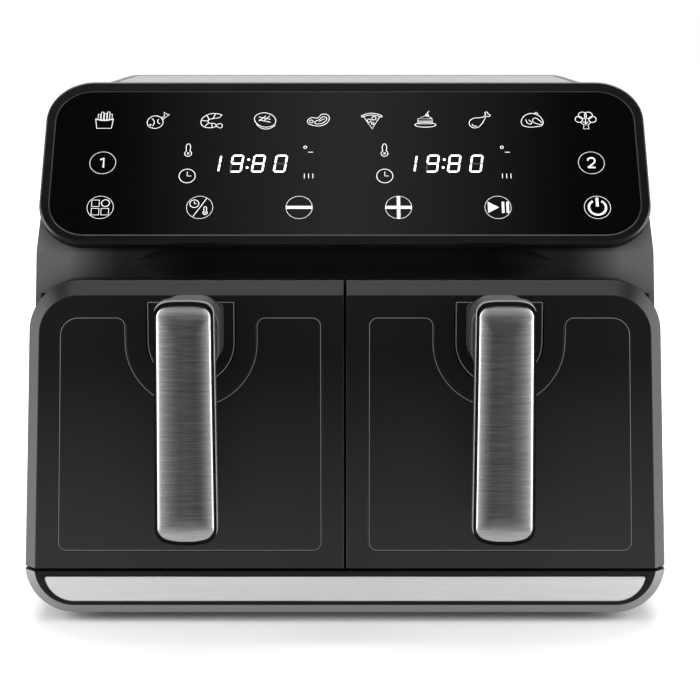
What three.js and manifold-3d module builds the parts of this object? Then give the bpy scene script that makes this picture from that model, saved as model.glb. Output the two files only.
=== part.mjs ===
// A countertop air fryer with two cooking drawers side by side under one sloping touch panel.
// Each drawer is a front with a bar handle and a non-stick pan that holds a lift-out crisper plate.
// Behind each front is a steel cavity with a heating element, a hot-air impeller and a motor above it.
// Millimetres. +X is to the right as seen from the front, +Y to the back and +Z up; the feet stand on Z = 0.
import * as THREE from "three";
import { mergeVertices } from "three/addons/utils/BufferGeometryUtils.js";
import Module from "manifold-3d";

const wasm = await Module();
wasm.setup();

// ---- Driving dimensions ----

const GAP = 0.3; // between pieces that touch
const PAST = 20; // how far a cutting tool runs past what it cuts
const ROUND = 3; // curve divisions of a small arc
const SMOOTH = 5; // curve divisions of a large arc

const FACE_Y = -151; // front face of the drawers and of the base
const BACK_Y = 189; // outer face of the rear cover
const FRONT_DEPTH = 20; // drawer front, from its face to its rear edge
const SEAM = 1.5; // open seam behind the drawer fronts
const BODY_FRONT_Y = FACE_Y + FRONT_DEPTH + SEAM;
const SIDE_DRAFT = 0.0385; // lean of each side wall, in millimetres per millimetre of height
const BASE_HALF_WIDTH = 194;
const HOUSING_INSET = 1.5; // the housing is this much narrower each side than the drawer fronts

const FOOT_HEIGHT = 5;
const BASE_TOP = 32.3;
const BASE_CORNER = 30;
const BASE_CHAMFER = 7;
const BASE_WALL = 4;
const TRIM_INSET = 12; // in from the side of the base
const TRIM_RISE = 8.7; // above the bottom of the base
const TRIM_TOP = 29.4;
const TRIM_THICKNESS = 1.5;

const FRONT_BOTTOM = 34;
const FRONT_TOP = 208.5;
const FRONT_CORNER = 30;
const FRONT_CHAMFER = 8;
const FRONT_WALL = 4;
const SPLIT_GAP = 1.5; // between the two drawer fronts

const HOUSING_BOTTOM = 33;
const HOUSING_TOP = 319;
const SHOULDER = 27;
const WALL = 3;
const REAR_COVER_THICKNESS = 5.7;
const HOUSING_BACK_Y = BACK_Y - REAR_COVER_THICKNESS - GAP;

const PANEL_LOW = { y: -134.4, z: 229.6 }; // lower front edge of the panel frame
const PANEL_HIGH = { y: -63.3, z: 323.5 }; // upper front edge
const PANEL_HALF_WIDTH = 185;
const PANEL_THICKNESS = 7;
const PANEL_CORNER = 29;
const GLASS = { halfWidth: 178.9, low: 6.1, high: 109.9, corner: 22.5, thickness: 2 };

const SCOOP = { z: 221, depth: 24, halfHeight: 11, straight: 125, end: 50 }; // finger recess over the drawers

const CELL_X = 94.5; // middle of each pan, cavity and heater
const CAVITY = { inner: 9.5, outer: 179, front: -125.2, back: 150, low: 37, high: 206.5, wall: 1.2 };
const MOUTH = { inner: 12.5, outer: 176.5, low: 38.5, high: 176 };
const PAN = { halfWidth: 76, front: -130.7, back: 112, low: 40, high: 168, corner: 22, wall: 2, rim: 3 };
const PLATE = { halfWidth: 71, low: 56, thickness: 2, margin: 3.5, corner: 18 };
const HEATER_Y = 8; // axis of the impeller, shaft and motor
const SHAFT_RADIUS = 4;

const HANDLE_X = 91.3;
const HANDLE = { low: 61.3, high: 203.6, halfTop: 17, halfBottom: 18, standOff: 50, thickness: 17 };
const NOTCH = { z: 172.5, outer: 39, inner: 25.7, top: 196.7 }; // U-shaped field round the handle

// ---- Materials ----

const material = (color, roughness, metalness) =>
  new THREE.MeshStandardMaterial({ color, roughness, metalness });
const HOUSING_GREY = material(0x2b2b2d, 0.55, 0);
const FRONT_BLACK = material(0x1b1b1c, 0.5, 0);
const GLOSS_BLACK = material(0x08080a, 0.12, 0);
const PANEL_BLACK = material(0x030304, 0.06, 0);
const BRUSHED_STEEL = material(0xb8b8b8, 0.32, 1);
const LINER_STEEL = material(0x9a9c9e, 0.4, 1);
const NON_STICK = material(0x26272a, 0.45, 0.3);
const HEATER_METAL = material(0x5a5552, 0.5, 1);
const MOTOR_METAL = material(0x85878a, 0.45, 1);
const WHITE_NYLON = material(0xd8d6cf, 0.6, 0);
const BOARD_GREEN = material(0x1d4a2e, 0.5, 0);
const RUBBER = material(0x141414, 0.85, 0);
const SCREW_STEEL = material(0x8d8f92, 0.35, 1);

// ---- Solids ----

function solidOf(geometry) {
  const plain = geometry.index ? geometry.toNonIndexed() : geometry.clone();
  plain.deleteAttribute("normal");
  plain.deleteAttribute("uv");
  const merged = mergeVertices(plain, 1e-4);
  const vertProperties = merged.attributes.position.array;
  const triVerts = new Uint32Array(merged.index.array);
  return new wasm.Manifold(new wasm.Mesh({ numProp: 3, vertProperties, triVerts }));
}

function geometryOf(solid) {
  const mesh = solid.getMesh();
  const geometry = new THREE.BufferGeometry();
  geometry.setAttribute("position", new THREE.BufferAttribute(mesh.vertProperties, 3));
  geometry.setIndex(new THREE.BufferAttribute(mesh.triVerts, 1));
  geometry.computeVertexNormals();
  return geometry;
}

const cut = (base, ...tools) =>
  geometryOf(tools.reduce((solid, tool) => solid.subtract(solidOf(tool)), solidOf(base)));
const join = (base, ...others) =>
  geometryOf(others.reduce((solid, other) => solid.add(solidOf(other)), solidOf(base)));
const overlap = (base, tool) => geometryOf(solidOf(base).intersect(solidOf(tool)));

// ---- Shapes and primitive solids ----

// A rectangle with its own radius at each corner: lower left, lower right, upper right, upper left.
function rounded(left, right, low, high, radii) {
  const [a, b, c, d] = Array.isArray(radii) ? radii : [radii, radii, radii, radii];
  const half = Math.PI / 2;
  const shape = new THREE.Shape();
  shape.moveTo(left + a, low);
  shape.lineTo(right - b, low);
  if (b) shape.absarc(right - b, low + b, b, -half, 0, false);
  shape.lineTo(right, high - c);
  if (c) shape.absarc(right - c, high - c, c, 0, half, false);
  shape.lineTo(left + d, high);
  if (d) shape.absarc(left + d, high - d, d, half, Math.PI, false);
  shape.lineTo(left, low + a);
  if (a) shape.absarc(left + a, low + a, a, Math.PI, 3 * half, false);
  return shape;
}

// A shape drawn in X and Y, made solid from Z = low to Z = high. A bevel takes both ends in.
function extrudeZ(shape, low, high, divisions = ROUND, bevel = 0, bevelSteps = 1) {
  const geometry = new THREE.ExtrudeGeometry(shape, {
    depth: high - low - 2 * bevel,
    curveSegments: divisions,
    bevelEnabled: bevel > 0,
    bevelThickness: bevel,
    bevelSize: bevel,
    bevelOffset: -bevel,
    bevelSegments: bevelSteps,
  });
  return geometry.translate(0, 0, low + bevel);
}

// A shape drawn in X and Z, made solid from Y = front to Y = back.
const extrudeY = (shape, front, back, divisions, bevel, bevelSteps) =>
  extrudeZ(shape, -back, -front, divisions, bevel, bevelSteps).rotateX(Math.PI / 2);

const block = (x0, x1, y0, y1, z0, z1) =>
  new THREE.BoxGeometry(x1 - x0, y1 - y0, z1 - z0).translate((x0 + x1) / 2, (y0 + y1) / 2, (z0 + z1) / 2);

// An upright round bar, and one that lies along Y.
const post = (radius, low, high, x, y, sides = 20) =>
  new THREE.CylinderGeometry(radius, radius, high - low, sides)
    .rotateX(Math.PI / 2)
    .translate(x, y, (low + high) / 2);
const rod = (radius, front, back, x, z, sides = 16) =>
  new THREE.CylinderGeometry(radius, radius, back - front, sides).translate(x, (front + back) / 2, z);

// A turned solid about an upright axis, from [radius, height] pairs listed from the bottom up.
const turned = (profile, x, y, sides = 20) =>
  new THREE.LatheGeometry(profile.map(([r, z]) => new THREE.Vector2(r, z)), sides)
    .rotateX(Math.PI / 2)
    .translate(x, y, 0);

const named = (name, geometry, look) => {
  const mesh = new THREE.Mesh(geometry, look);
  mesh.name = name;
  return mesh;
};

const frontHalfWidth = (z) => BASE_HALF_WIDTH - SIDE_DRAFT * (z - FRONT_BOTTOM);
const housingHalfWidth = (z) => frontHalfWidth(z) - HOUSING_INSET;

// The tapered arch of the body, seen from the front, taken in by inset.
function archOutline(halfWidth, low, high, corner, inset) {
  const top = high - inset;
  const radius = corner - inset;
  const foot = halfWidth(low) - inset;
  const crown = halfWidth(top - radius) - inset - radius;
  const shape = new THREE.Shape();
  shape.moveTo(-foot, low);
  shape.lineTo(foot, low);
  shape.lineTo(crown + radius, top - radius);
  shape.absarc(crown, top - radius, radius, 0, Math.PI / 2, false);
  shape.absarc(-crown, top - radius, radius, Math.PI / 2, Math.PI, false);
  return shape;
}

const baseOutline = (inset) =>
  rounded(
    inset - BASE_HALF_WIDTH,
    BASE_HALF_WIDTH - inset,
    FOOT_HEIGHT + inset,
    BASE_TOP + PAST,
    [BASE_CORNER - inset, BASE_CORNER - inset, 0, 0],
  );

// ---- Panel frame of reference: X across, Y up the slope, Z out of it ----

const panelRise = PANEL_HIGH.z - PANEL_LOW.z;
const panelRun = PANEL_HIGH.y - PANEL_LOW.y;
const panelLength = Math.hypot(panelRise, panelRun);
const panelGroup = new THREE.Group();
panelGroup.position.set(0, PANEL_LOW.y, PANEL_LOW.z);
panelGroup.rotation.x = Math.atan2(panelRise, panelRun);
panelGroup.updateMatrix();

// ---- Base ----

const VENT = { count: 6, pitch: 14, halfLength: 35, halfWidth: 2.5 };

function baseTray() {
  const outer = extrudeY(baseOutline(0), FACE_Y, BACK_Y, SMOOTH, BASE_CHAMFER);
  const inner = extrudeY(
    baseOutline(BASE_WALL),
    FACE_Y + BASE_CHAMFER + 1,
    BACK_Y - BASE_CHAMFER - 1,
    SMOOTH,
  );
  const reach = BASE_HALF_WIDTH + PAST;
  const above = block(-reach, reach, FACE_Y - PAST, BACK_Y + PAST, BASE_TOP, BASE_TOP + 3 * PAST);
  const trimPocket = extrudeY(trimOutline(-GAP), FACE_Y - 1, FACE_Y + TRIM_THICKNESS, SMOOTH);
  const tools = [inner, above, trimPocket];
  for (const side of [-1, 1]) {
    const x = side * CELL_X;
    for (let i = 0; i < VENT.count; i++) {
      const y = (i - (VENT.count - 1) / 2) * VENT.pitch;
      const [near, far] = [y - VENT.halfWidth, y + VENT.halfWidth];
      tools.push(block(x - VENT.halfLength, x + VENT.halfLength, near, far, 0, FOOT_HEIGHT + PAST));
    }
    for (const y of SCREW_ROWS) tools.push(post(SCREW.shank + GAP, 0, PAST, side * SCREW.x, y, 12));
  }
  return cut(outer, ...tools);
}

// The trim strip follows the rounded underside of the base and ends level at the top.
function trimOutline(inset) {
  const radius = BASE_CORNER - TRIM_INSET - inset;
  const low = FOOT_HEIGHT + TRIM_RISE + inset;
  const top = TRIM_TOP - inset;
  const middle = BASE_HALF_WIDTH - BASE_CORNER;
  const rise = Math.asin((top - low - radius) / radius);
  const shape = new THREE.Shape();
  shape.moveTo(-middle, low);
  shape.lineTo(middle, low);
  shape.absarc(middle, low + radius, radius, -Math.PI / 2, rise, false);
  shape.absarc(-middle, low + radius, radius, Math.PI - rise, 1.5 * Math.PI, false);
  return shape;
}

const baseTrim = () => extrudeY(trimOutline(0), FACE_Y - GAP, FACE_Y + TRIM_THICKNESS - GAP, SMOOTH);

const FOOT_PLACES = [
  ["front_left", -150, -112],
  ["front_right", 150, -112],
  ["rear_left", -150, 150],
  ["rear_right", 150, 150],
];
const FOOT_RADIUS = 11;

const foot = (x, y) =>
  turned(
    [
      [0, 0],
      [FOOT_RADIUS - 1, 0],
      [FOOT_RADIUS, 1],
      [FOOT_RADIUS, FOOT_HEIGHT - GAP],
      [0, FOOT_HEIGHT - GAP],
    ],
    x,
    y,
  );

const SCREW = { x: 120, shank: 1.8, head: 3.8, headHeight: 2, length: 14 };
const SCREW_ROWS = [-112, 150];

// A pan-head screw that comes up through the base.
const baseScrew = (x, y) =>
  turned(
    [
      [0, FOOT_HEIGHT - GAP - SCREW.headHeight],
      [SCREW.head, FOOT_HEIGHT - GAP - SCREW.headHeight],
      [SCREW.head, FOOT_HEIGHT - GAP],
      [SCREW.shank, FOOT_HEIGHT - GAP],
      [SCREW.shank, FOOT_HEIGHT + SCREW.length],
      [0, FOOT_HEIGHT + SCREW.length],
    ],
    x,
    y,
    12,
  );

// ---- Housing ----

// A round-ended bar across the front, flattened to the recess's height: the space that fingers reach into.
function scoop(grow) {
  const { straight, end, depth, halfHeight, z } = SCOOP;
  const steps = 6;
  const round = Array.from({ length: steps + 1 }, (_, i) => {
    const angle = (i / steps) * (Math.PI / 2);
    return [Math.cos(angle), straight + (end + grow) * Math.sin(angle)];
  });
  const profile = [...round.map(([r, x]) => [r, -x]).reverse(), ...round];
  profile[0][0] = 0;
  profile[profile.length - 1][0] = 0;
  return new THREE.LatheGeometry(profile.map(([r, x]) => new THREE.Vector2(r, x)), 24)
    .rotateZ(-Math.PI / 2)
    .scale(1, depth + grow, halfHeight + grow)
    .translate(0, BODY_FRONT_Y, z);
}

const NECK = { low: 200, high: 235 };

// The neck is the wall under the panel: flat at both ends, with the recess pressed into its middle.
function neck() {
  const { low, high } = NECK;
  const halfWidth = housingHalfWidth(low) - WALL / 2;
  const wall = block(-halfWidth, halfWidth, BODY_FRONT_Y, BODY_FRONT_Y + WALL, low, high);
  const behind = block(-halfWidth, halfWidth, BODY_FRONT_Y, BODY_FRONT_Y + SCOOP.depth + PAST, low, high);
  const shell = overlap(scoop(WALL), behind);
  return join(wall, shell);
}

// A slab parallel to the control panel, between two distances from its face.
const slopeSlab = (low, high, halfWidth = 500, bottom = -500, top = 500) =>
  block(-halfWidth, halfWidth, bottom, top, low, high).applyMatrix4(panelGroup.matrix);

const SLOPE_SEAT = -PANEL_THICKNESS - GAP; // the plane that the panel frame is seated on
const BOARD = { halfWidth: 150, low: 22, high: 92, room: 3 };

// The sloping wall behind the panel frame, with a window for the control board.
function slopeWall(archSolid) {
  const { halfWidth, low, high, room } = BOARD;
  const window = slopeSlab(SLOPE_SEAT - PAST, SLOPE_SEAT + PAST, halfWidth + room, low - room, high + room);
  const reach = BASE_HALF_WIDTH;
  const aboveNeck = block(-reach, reach, BODY_FRONT_Y, 0, SCOOP.z, HOUSING_TOP);
  return cut(overlap(overlap(archSolid, slopeSlab(SLOPE_SEAT - WALL, SLOPE_SEAT)), aboveNeck), window);
}

const TOP_PLATE = { halfWidth: 153, front: -48, back: 163, corner: 6, thickness: 1.5 };

function outerHousing() {
  const arch = (inset, low) => archOutline(housingHalfWidth, low, HOUSING_TOP, SHOULDER, inset);
  const outer = extrudeY(arch(0, HOUSING_BOTTOM), BODY_FRONT_Y, HOUSING_BACK_Y, SMOOTH);
  const inner = extrudeY(
    arch(WALL, HOUSING_BOTTOM - PAST),
    BODY_FRONT_Y - PAST,
    HOUSING_BACK_Y + PAST,
    SMOOTH,
  );
  const { halfWidth, front, back, corner, thickness } = TOP_PLATE;
  const pocket = extrudeZ(
    rounded(-halfWidth - GAP, halfWidth + GAP, front - GAP, back + GAP, corner),
    HOUSING_TOP - thickness,
    HOUSING_TOP + PAST,
  );
  const shell = join(cut(outer, inner), neck(), slopeWall(outer));
  return cut(shell, slopeSlab(SLOPE_SEAT, 500), scoop(0), pocket);
}

function topPlate() {
  const { halfWidth, front, back, corner, thickness } = TOP_PLATE;
  const low = HOUSING_TOP - thickness + GAP;
  return extrudeZ(rounded(-halfWidth, halfWidth, front, back, corner), low, low + thickness);
}

// ---- Rear ----

const COVER_RECESS = { halfWidth: 170, low: 47, high: 299 }; // inside the rear cover
const LOUVRE = { halfWidth: 24, low: 174, pitch: 6, height: 3.4, count: 5 };
const GLAND = { x: 150, z: 64, radius: 7, bore: 3.6, flange: 9.5, inner: 3, outer: 4 };

function rearCover() {
  const outer = extrudeY(
    archOutline(housingHalfWidth, HOUSING_BOTTOM, HOUSING_TOP, SHOULDER, 0),
    BACK_Y - REAR_COVER_THICKNESS,
    BACK_Y,
    SMOOTH,
    2,
  );
  const { halfWidth, low, high } = COVER_RECESS;
  const tools = [
    block(-halfWidth, halfWidth, BACK_Y - REAR_COVER_THICKNESS - PAST, BACK_Y - WALL, low, high),
    rod(GLAND.radius + GAP, BACK_Y - PAST, BACK_Y + PAST, GLAND.x, GLAND.z),
  ];
  for (const side of [-1, 1]) {
    const [x0, x1] = [side * CELL_X - LOUVRE.halfWidth, side * CELL_X + LOUVRE.halfWidth];
    for (let i = 0; i < LOUVRE.count; i++) {
      const z = LOUVRE.low + i * LOUVRE.pitch;
      tools.push(block(x0, x1, BACK_Y - PAST, BACK_Y + PAST, z, z + LOUVRE.height));
    }
  }
  return cut(outer, ...tools);
}

// A rubber bush with a flange each side of the cover and a bore for the flex.
function cordGland() {
  const { radius, bore, flange, inner, outer } = GLAND;
  const inside = BACK_Y - WALL - GAP;
  const profile = [
    [bore, inside - inner],
    [flange, inside - inner],
    [flange, inside],
    [radius, inside],
    [radius, BACK_Y + GAP],
    [flange, BACK_Y + GAP],
    [flange - 1, BACK_Y + outer],
    [bore, BACK_Y + outer],
    [bore, inside - inner],
  ];
  return new THREE.LatheGeometry(profile.map(([r, y]) => new THREE.Vector2(r, y)), 16).translate(
    GLAND.x,
    0,
    GLAND.z,
  );
}

const SPACER = { x: 120, z: 262, halfWidth: 16, halfHeight: 9, depth: 12.3 };

// A stand-off that keeps the hot-air outlets away from a wall.
const rearSpacer = (side) =>
  extrudeY(
    rounded(
      side * SPACER.x - SPACER.halfWidth,
      side * SPACER.x + SPACER.halfWidth,
      SPACER.z - SPACER.halfHeight,
      SPACER.z + SPACER.halfHeight,
      4,
    ),
    BACK_Y + GAP,
    BACK_Y + SPACER.depth,
    ROUND,
    1.5,
  );

const DUCT = { halfWidth: 27, low: 171, high: 203, wall: 1.5 };

function exhaustDuct() {
  const { halfWidth, low, high, wall } = DUCT;
  const front = CAVITY.back + 2 * GAP;
  const back = BACK_Y - WALL - GAP;
  const outer = block(-halfWidth, halfWidth, front, back, low, high);
  const bore = block(wall - halfWidth, halfWidth - wall, front - PAST, back + PAST, low + wall, high - wall);
  return cut(outer, bore);
}

// ---- Control panel, in the panel's own frame ----

function panelFrame() {
  const { halfWidth, low, high, corner, thickness } = GLASS;
  const outline = rounded(-PANEL_HALF_WIDTH, PANEL_HALF_WIDTH, 0, panelLength, PANEL_CORNER);
  const seat = rounded(-halfWidth - GAP, halfWidth + GAP, low - GAP, high + GAP, corner);
  const ledge = 4;
  const hole = rounded(-halfWidth + ledge, halfWidth - ledge, low + ledge, high - ledge, corner - ledge);
  return cut(
    extrudeZ(outline, -PANEL_THICKNESS, 0, SMOOTH, 1.8, 2),
    extrudeZ(seat, -thickness - 2 * GAP, PAST, SMOOTH),
    extrudeZ(hole, -PANEL_THICKNESS - PAST, PAST, SMOOTH),
  );
}

function panelGlass() {
  const { halfWidth, low, high, corner, thickness } = GLASS;
  return extrudeZ(rounded(-halfWidth, halfWidth, low, high, corner), -thickness - GAP, -GAP, SMOOTH);
}

const BOARD_BACK = -15; // behind the panel's face
const BOARD_THICKNESS = 1.6;
const DISPLAY = { places: [-56.5, 63.8], halfWidth: 24, low: 44, high: 64, front: -4 };
const CONNECTOR = { halfWidth: 12, low: 30, high: 38, depth: 7 };

// The board behind the glass, with the two digit displays and the connector soldered on.
function controlBoard() {
  const boardFront = BOARD_BACK + BOARD_THICKNESS;
  const board = block(-BOARD.halfWidth, BOARD.halfWidth, BOARD.low, BOARD.high, BOARD_BACK, boardFront);
  const { places, halfWidth, low, high, front } = DISPLAY;
  const displays = places.map((x) => block(x - halfWidth, x + halfWidth, low, high, BOARD_BACK + 1, front));
  const { depth } = CONNECTOR;
  const connector = block(
    -CONNECTOR.halfWidth,
    CONNECTOR.halfWidth,
    CONNECTOR.low,
    CONNECTOR.high,
    BOARD_BACK - depth,
    BOARD_BACK + 1,
  );
  return join(board, ...displays, connector);
}

// ---- Front frame, cavities and air system ----

const SWITCH = { x: 5, z: 120, plunger: 1.8, halfWidth: 3.8, halfHeight: 10, depth: 18 };
const FRAME_DEPTH = 4;
const MOUTH_CORNER = 5;
const CLEARANCE = 4; // round a shaft or a probe where it passes through sheet metal

// The moulded frame that both drawers close against.
function frontFrame() {
  const outline = new THREE.Shape();
  const top = NECK.low - 1;
  const foot = housingHalfWidth(FRONT_BOTTOM) - WALL - GAP;
  const head = housingHalfWidth(top) - WALL - GAP;
  outline.moveTo(-foot, FRONT_BOTTOM);
  outline.lineTo(foot, FRONT_BOTTOM);
  outline.lineTo(head, top);
  outline.lineTo(-head, top);
  const plate = extrudeY(outline, BODY_FRONT_Y, BODY_FRONT_Y + FRAME_DEPTH);
  const tools = [];
  for (const side of [-1, 1]) {
    const [x0, x1] = side < 0 ? [-MOUTH.outer, -MOUTH.inner] : [MOUTH.inner, MOUTH.outer];
    const [near, far] = [BODY_FRONT_Y - PAST, BODY_FRONT_Y + PAST];
    tools.push(
      extrudeY(rounded(x0, x1, MOUTH.low, MOUTH.high, MOUTH_CORNER), near, far),
      rod(SWITCH.plunger + 2 * GAP, near, far, side * SWITCH.x, SWITCH.z, 10),
    );
  }
  return cut(plate, ...tools);
}

const TERMINAL_SLOT = { halfWidth: 12, near: 64, far: 76 };

function cavityLiner() {
  const { inner, outer, front, back, low, high, wall } = CAVITY;
  const shell = block(inner, outer, front, back, low, high);
  const hollow = block(inner + wall, outer - wall, front + wall, back - wall, low + wall, high - wall);
  const opening = rounded(MOUTH.inner, MOUTH.outer, MOUTH.low, MOUTH.high, MOUTH_CORNER);
  const mouth = extrudeY(opening, front - PAST, front + PAST);
  const outletHalf = DUCT.halfWidth - DUCT.wall;
  const outlet = block(
    CELL_X - outletHalf,
    CELL_X + outletHalf,
    back - PAST,
    back + PAST,
    DUCT.low + DUCT.wall,
    DUCT.high - DUCT.wall,
  );
  const shaftHole = post(SHAFT_RADIUS + CLEARANCE, high - PAST / 2, high + PAST, CELL_X, HEATER_Y, 12);
  const probeHole = post(SENSOR.probe + 2 * GAP, high - PAST / 2, high + PAST, CELL_X, SENSOR.y, 12);
  const { halfWidth, near, far } = TERMINAL_SLOT;
  const terminals = block(
    CELL_X - halfWidth,
    CELL_X + halfWidth,
    HEATER_Y + near,
    HEATER_Y + far,
    high - PAST / 2,
    high + PAST,
  );
  return cut(shell, hollow, mouth, outlet, shaftHole, probeHole, terminals);
}

const ELEMENT = { z: 184.6, tube: 3.2, outer: 64, inner: 46, leg: 70, top: 216 };

// A point at an angle in degrees and a radius about the heater's axis.
const around = (angle, radius, z) =>
  new THREE.Vector3(
    radius * Math.cos(THREE.MathUtils.degToRad(angle)),
    HEATER_Y + radius * Math.sin(THREE.MathUtils.degToRad(angle)),
    z,
  );

// One sheathed tube: down a leg, once round outside, back round inside, and up the other leg.
function heatingElement() {
  const { z, tube, outer, inner, leg, top } = ELEMENT;
  const points = [around(96, leg, top), around(96, leg, z + 8), around(101, leg - 3, z)];
  for (let angle = 115; angle <= 415; angle += 30) points.push(around(angle, outer, z));
  points.push(around(427, (outer + inner) / 2, z));
  for (let angle = 415; angle >= 115; angle -= 30) points.push(around(angle, inner, z));
  points.push(around(92, inner + 4, z), around(86, leg - 8, z));
  points.push(around(84, leg, z + 8), around(84, leg, top));
  const section = new THREE.Shape().absarc(0, 0, tube, 0, 2 * Math.PI, false);
  return new THREE.ExtrudeGeometry(section, {
    steps: 46,
    curveSegments: 3,
    extrudePath: new THREE.CatmullRomCurve3(points, false, "centripetal"),
  });
}

const SENSOR = { y: -78, probe: 2.4, flange: 6, tip: 188, tail: 9 };

// A thermistor probe that hangs into the cavity from its own flange.
function temperatureSensor() {
  const { y, probe, flange, tip, tail } = SENSOR;
  const roof = CAVITY.high;
  const profile = [
    [0, tip],
    [probe, tip + 1],
    [probe, roof + GAP],
    [flange, roof + GAP],
    [flange, roof + 2],
    [probe, roof + 3],
    [probe, roof + tail],
    [0, roof + tail],
  ];
  return turned(profile, 0, y, 10);
}

const GUARD = { low: 176.6, thickness: 2, radii: [34, 74], bar: 2.5, spokes: 6 };

function ring(radius, width, low, high, sides) {
  const shape = new THREE.Shape().absarc(0, 0, radius, 0, 2 * Math.PI, false);
  shape.holes.push(new THREE.Path().absarc(0, 0, radius - width, 0, 2 * Math.PI, false));
  return extrudeZ(shape, low, high, sides / 2).translate(0, HEATER_Y, 0);
}

// Rings and spokes that keep food off the element.
function elementGuard() {
  const { low, thickness, radii, bar, spokes } = GUARD;
  const high = low + thickness;
  const parts = radii.map((radius) => ring(radius, bar, low, high, 16));
  const outermost = radii[radii.length - 1];
  for (let i = 0; i < spokes / 2; i++) {
    parts.push(
      block(-outermost + 1, outermost - 1, -bar / 2, bar / 2, low, high)
        .rotateZ((i * 2 * Math.PI) / spokes)
        .translate(0, HEATER_Y, 0),
    );
  }
  return join(...parts);
}

const IMPELLER = { low: 190.4, radius: 55, blades: 8, bladeHeight: 11 };
const COOLER = { low: 265, radius: 42, blades: 7, bladeHeight: 9 };
const HUB_RADIUS = 9;
const BLADE = { thickness: 1.4, lean: 18, shift: 4 };
const DISC_THICKNESS = 1.2;

// A disc with upright blades that lean back from the radius, on a hub that fits the shaft.
function fan({ low, radius, blades, bladeHeight }) {
  const high = low + bladeHeight;
  const half = BLADE.thickness / 2;
  const disc = post(radius, high - DISC_THICKNESS, high, 0, 0, 28);
  const parts = [post(HUB_RADIUS, low - 1, high, 0, 0, 14)];
  for (let i = 0; i < blades; i++) {
    parts.push(
      block(HUB_RADIUS + 3, radius - 1, -half, half, low, high - DISC_THICKNESS / 2)
        .rotateZ(THREE.MathUtils.degToRad(BLADE.lean))
        .translate(0, -BLADE.shift, 0)
        .rotateZ((i * 2 * Math.PI) / blades),
    );
  }
  const bore = post(SHAFT_RADIUS + GAP, low - PAST, high + PAST, 0, 0, 14);
  return cut(join(disc, ...parts), bore).translate(0, HEATER_Y, 0);
}

const DECK = { z: 222, thickness: 1.2, front: -88, back: 170, halfWidth: 176 };

// The heat shield that carries both motors and the power board.
function motorDeck() {
  const { z, thickness, front, back, halfWidth } = DECK;
  const holes = [-1, 1].map((side) =>
    post(SHAFT_RADIUS + CLEARANCE, z - PAST, z + PAST, side * CELL_X, HEATER_Y, 12),
  );
  return cut(block(-halfWidth, halfWidth, front, back, z, z + thickness), ...holes);
}

const MOTOR = { low: DECK.z + DECK.thickness + GAP, high: 262, radius: 32 };
const MOTOR_FLANGE = { half: 38, corner: 8, thickness: 2 };
const MOTOR_BOSS = { radius: 12, height: 4 };

function motor() {
  const { low, high, radius } = MOTOR;
  const { half, corner, thickness } = MOTOR_FLANGE;
  const flange = extrudeZ(rounded(-half, half, -half, half, corner), low, low + thickness);
  const can = post(radius, low + 1, high - MOTOR_BOSS.height, 0, 0, 24);
  const boss = post(MOTOR_BOSS.radius, high - MOTOR_BOSS.height - 1, high, 0, 0, 16);
  const bore = post(SHAFT_RADIUS + GAP, low - PAST, high + PAST, 0, 0, 14);
  return cut(join(flange, can, boss), bore).translate(0, HEATER_Y, 0);
}

const motorShaft = () =>
  post(SHAFT_RADIUS, IMPELLER.low - 4, COOLER.low + COOLER.bladeHeight + 3, 0, HEATER_Y, 14);

// What stands on the mains board: each part's X and Y ends, and its height.
const TRANSFORMER = [-30, 0, 110, 145, 28];
const RELAYS = [
  [12, 28, 118, 140, 18],
  [12, 28, 88, 110, 18],
];
const HEAT_SINK = [-32, -8, 72, 92, 12];
const MAINS_BOARD = { halfWidth: 42, front: 60, back: 160, lift: 4 };
const STUD = { near: 30, far: 38, inset: 4, length: 4 };

function powerBoard() {
  const { halfWidth, front, back, lift } = MAINS_BOARD;
  const z = DECK.z + DECK.thickness + lift;
  const board = block(-halfWidth, halfWidth, front, back, z, z + BOARD_THICKNESS);
  const parts = [TRANSFORMER, ...RELAYS, HEAT_SINK].map(([x0, x1, y0, y1, height]) =>
    block(x0, x1, y0, y1, z + 1, z + height),
  );
  const { near, far, inset, length } = STUD;
  for (const y of [front + inset, back - inset - length]) {
    for (const [x0, x1] of [[-far, -near], [near, far]]) {
      parts.push(block(x0, x1, y, y + length, z - lift + GAP, z + 1));
    }
  }
  return join(board, ...parts);
}

// A microswitch between the cavities. Its plunger reaches through the frame to the drawer.
function drawerSwitch() {
  const front = BODY_FRONT_Y + FRAME_DEPTH + GAP;
  const { x, z, plunger, halfWidth, halfHeight, depth } = SWITCH;
  const body = block(x - halfWidth, x + halfWidth, front, front + depth, z - halfHeight, z + halfHeight);
  const reach = FACE_Y + FRONT_DEPTH + GAP;
  return join(body, rod(plunger, reach, front + CLEARANCE, x, z, 10));
}

// ---- Drawer, drawn for the right-hand side ----

const INLAY = { inner: 14.3, outerTop: 168.6, outerFoot: 172.9, low: 45.3, high: 187.3 };
const INLAY_CORNERS = { small: 5, large: 11 };

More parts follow.
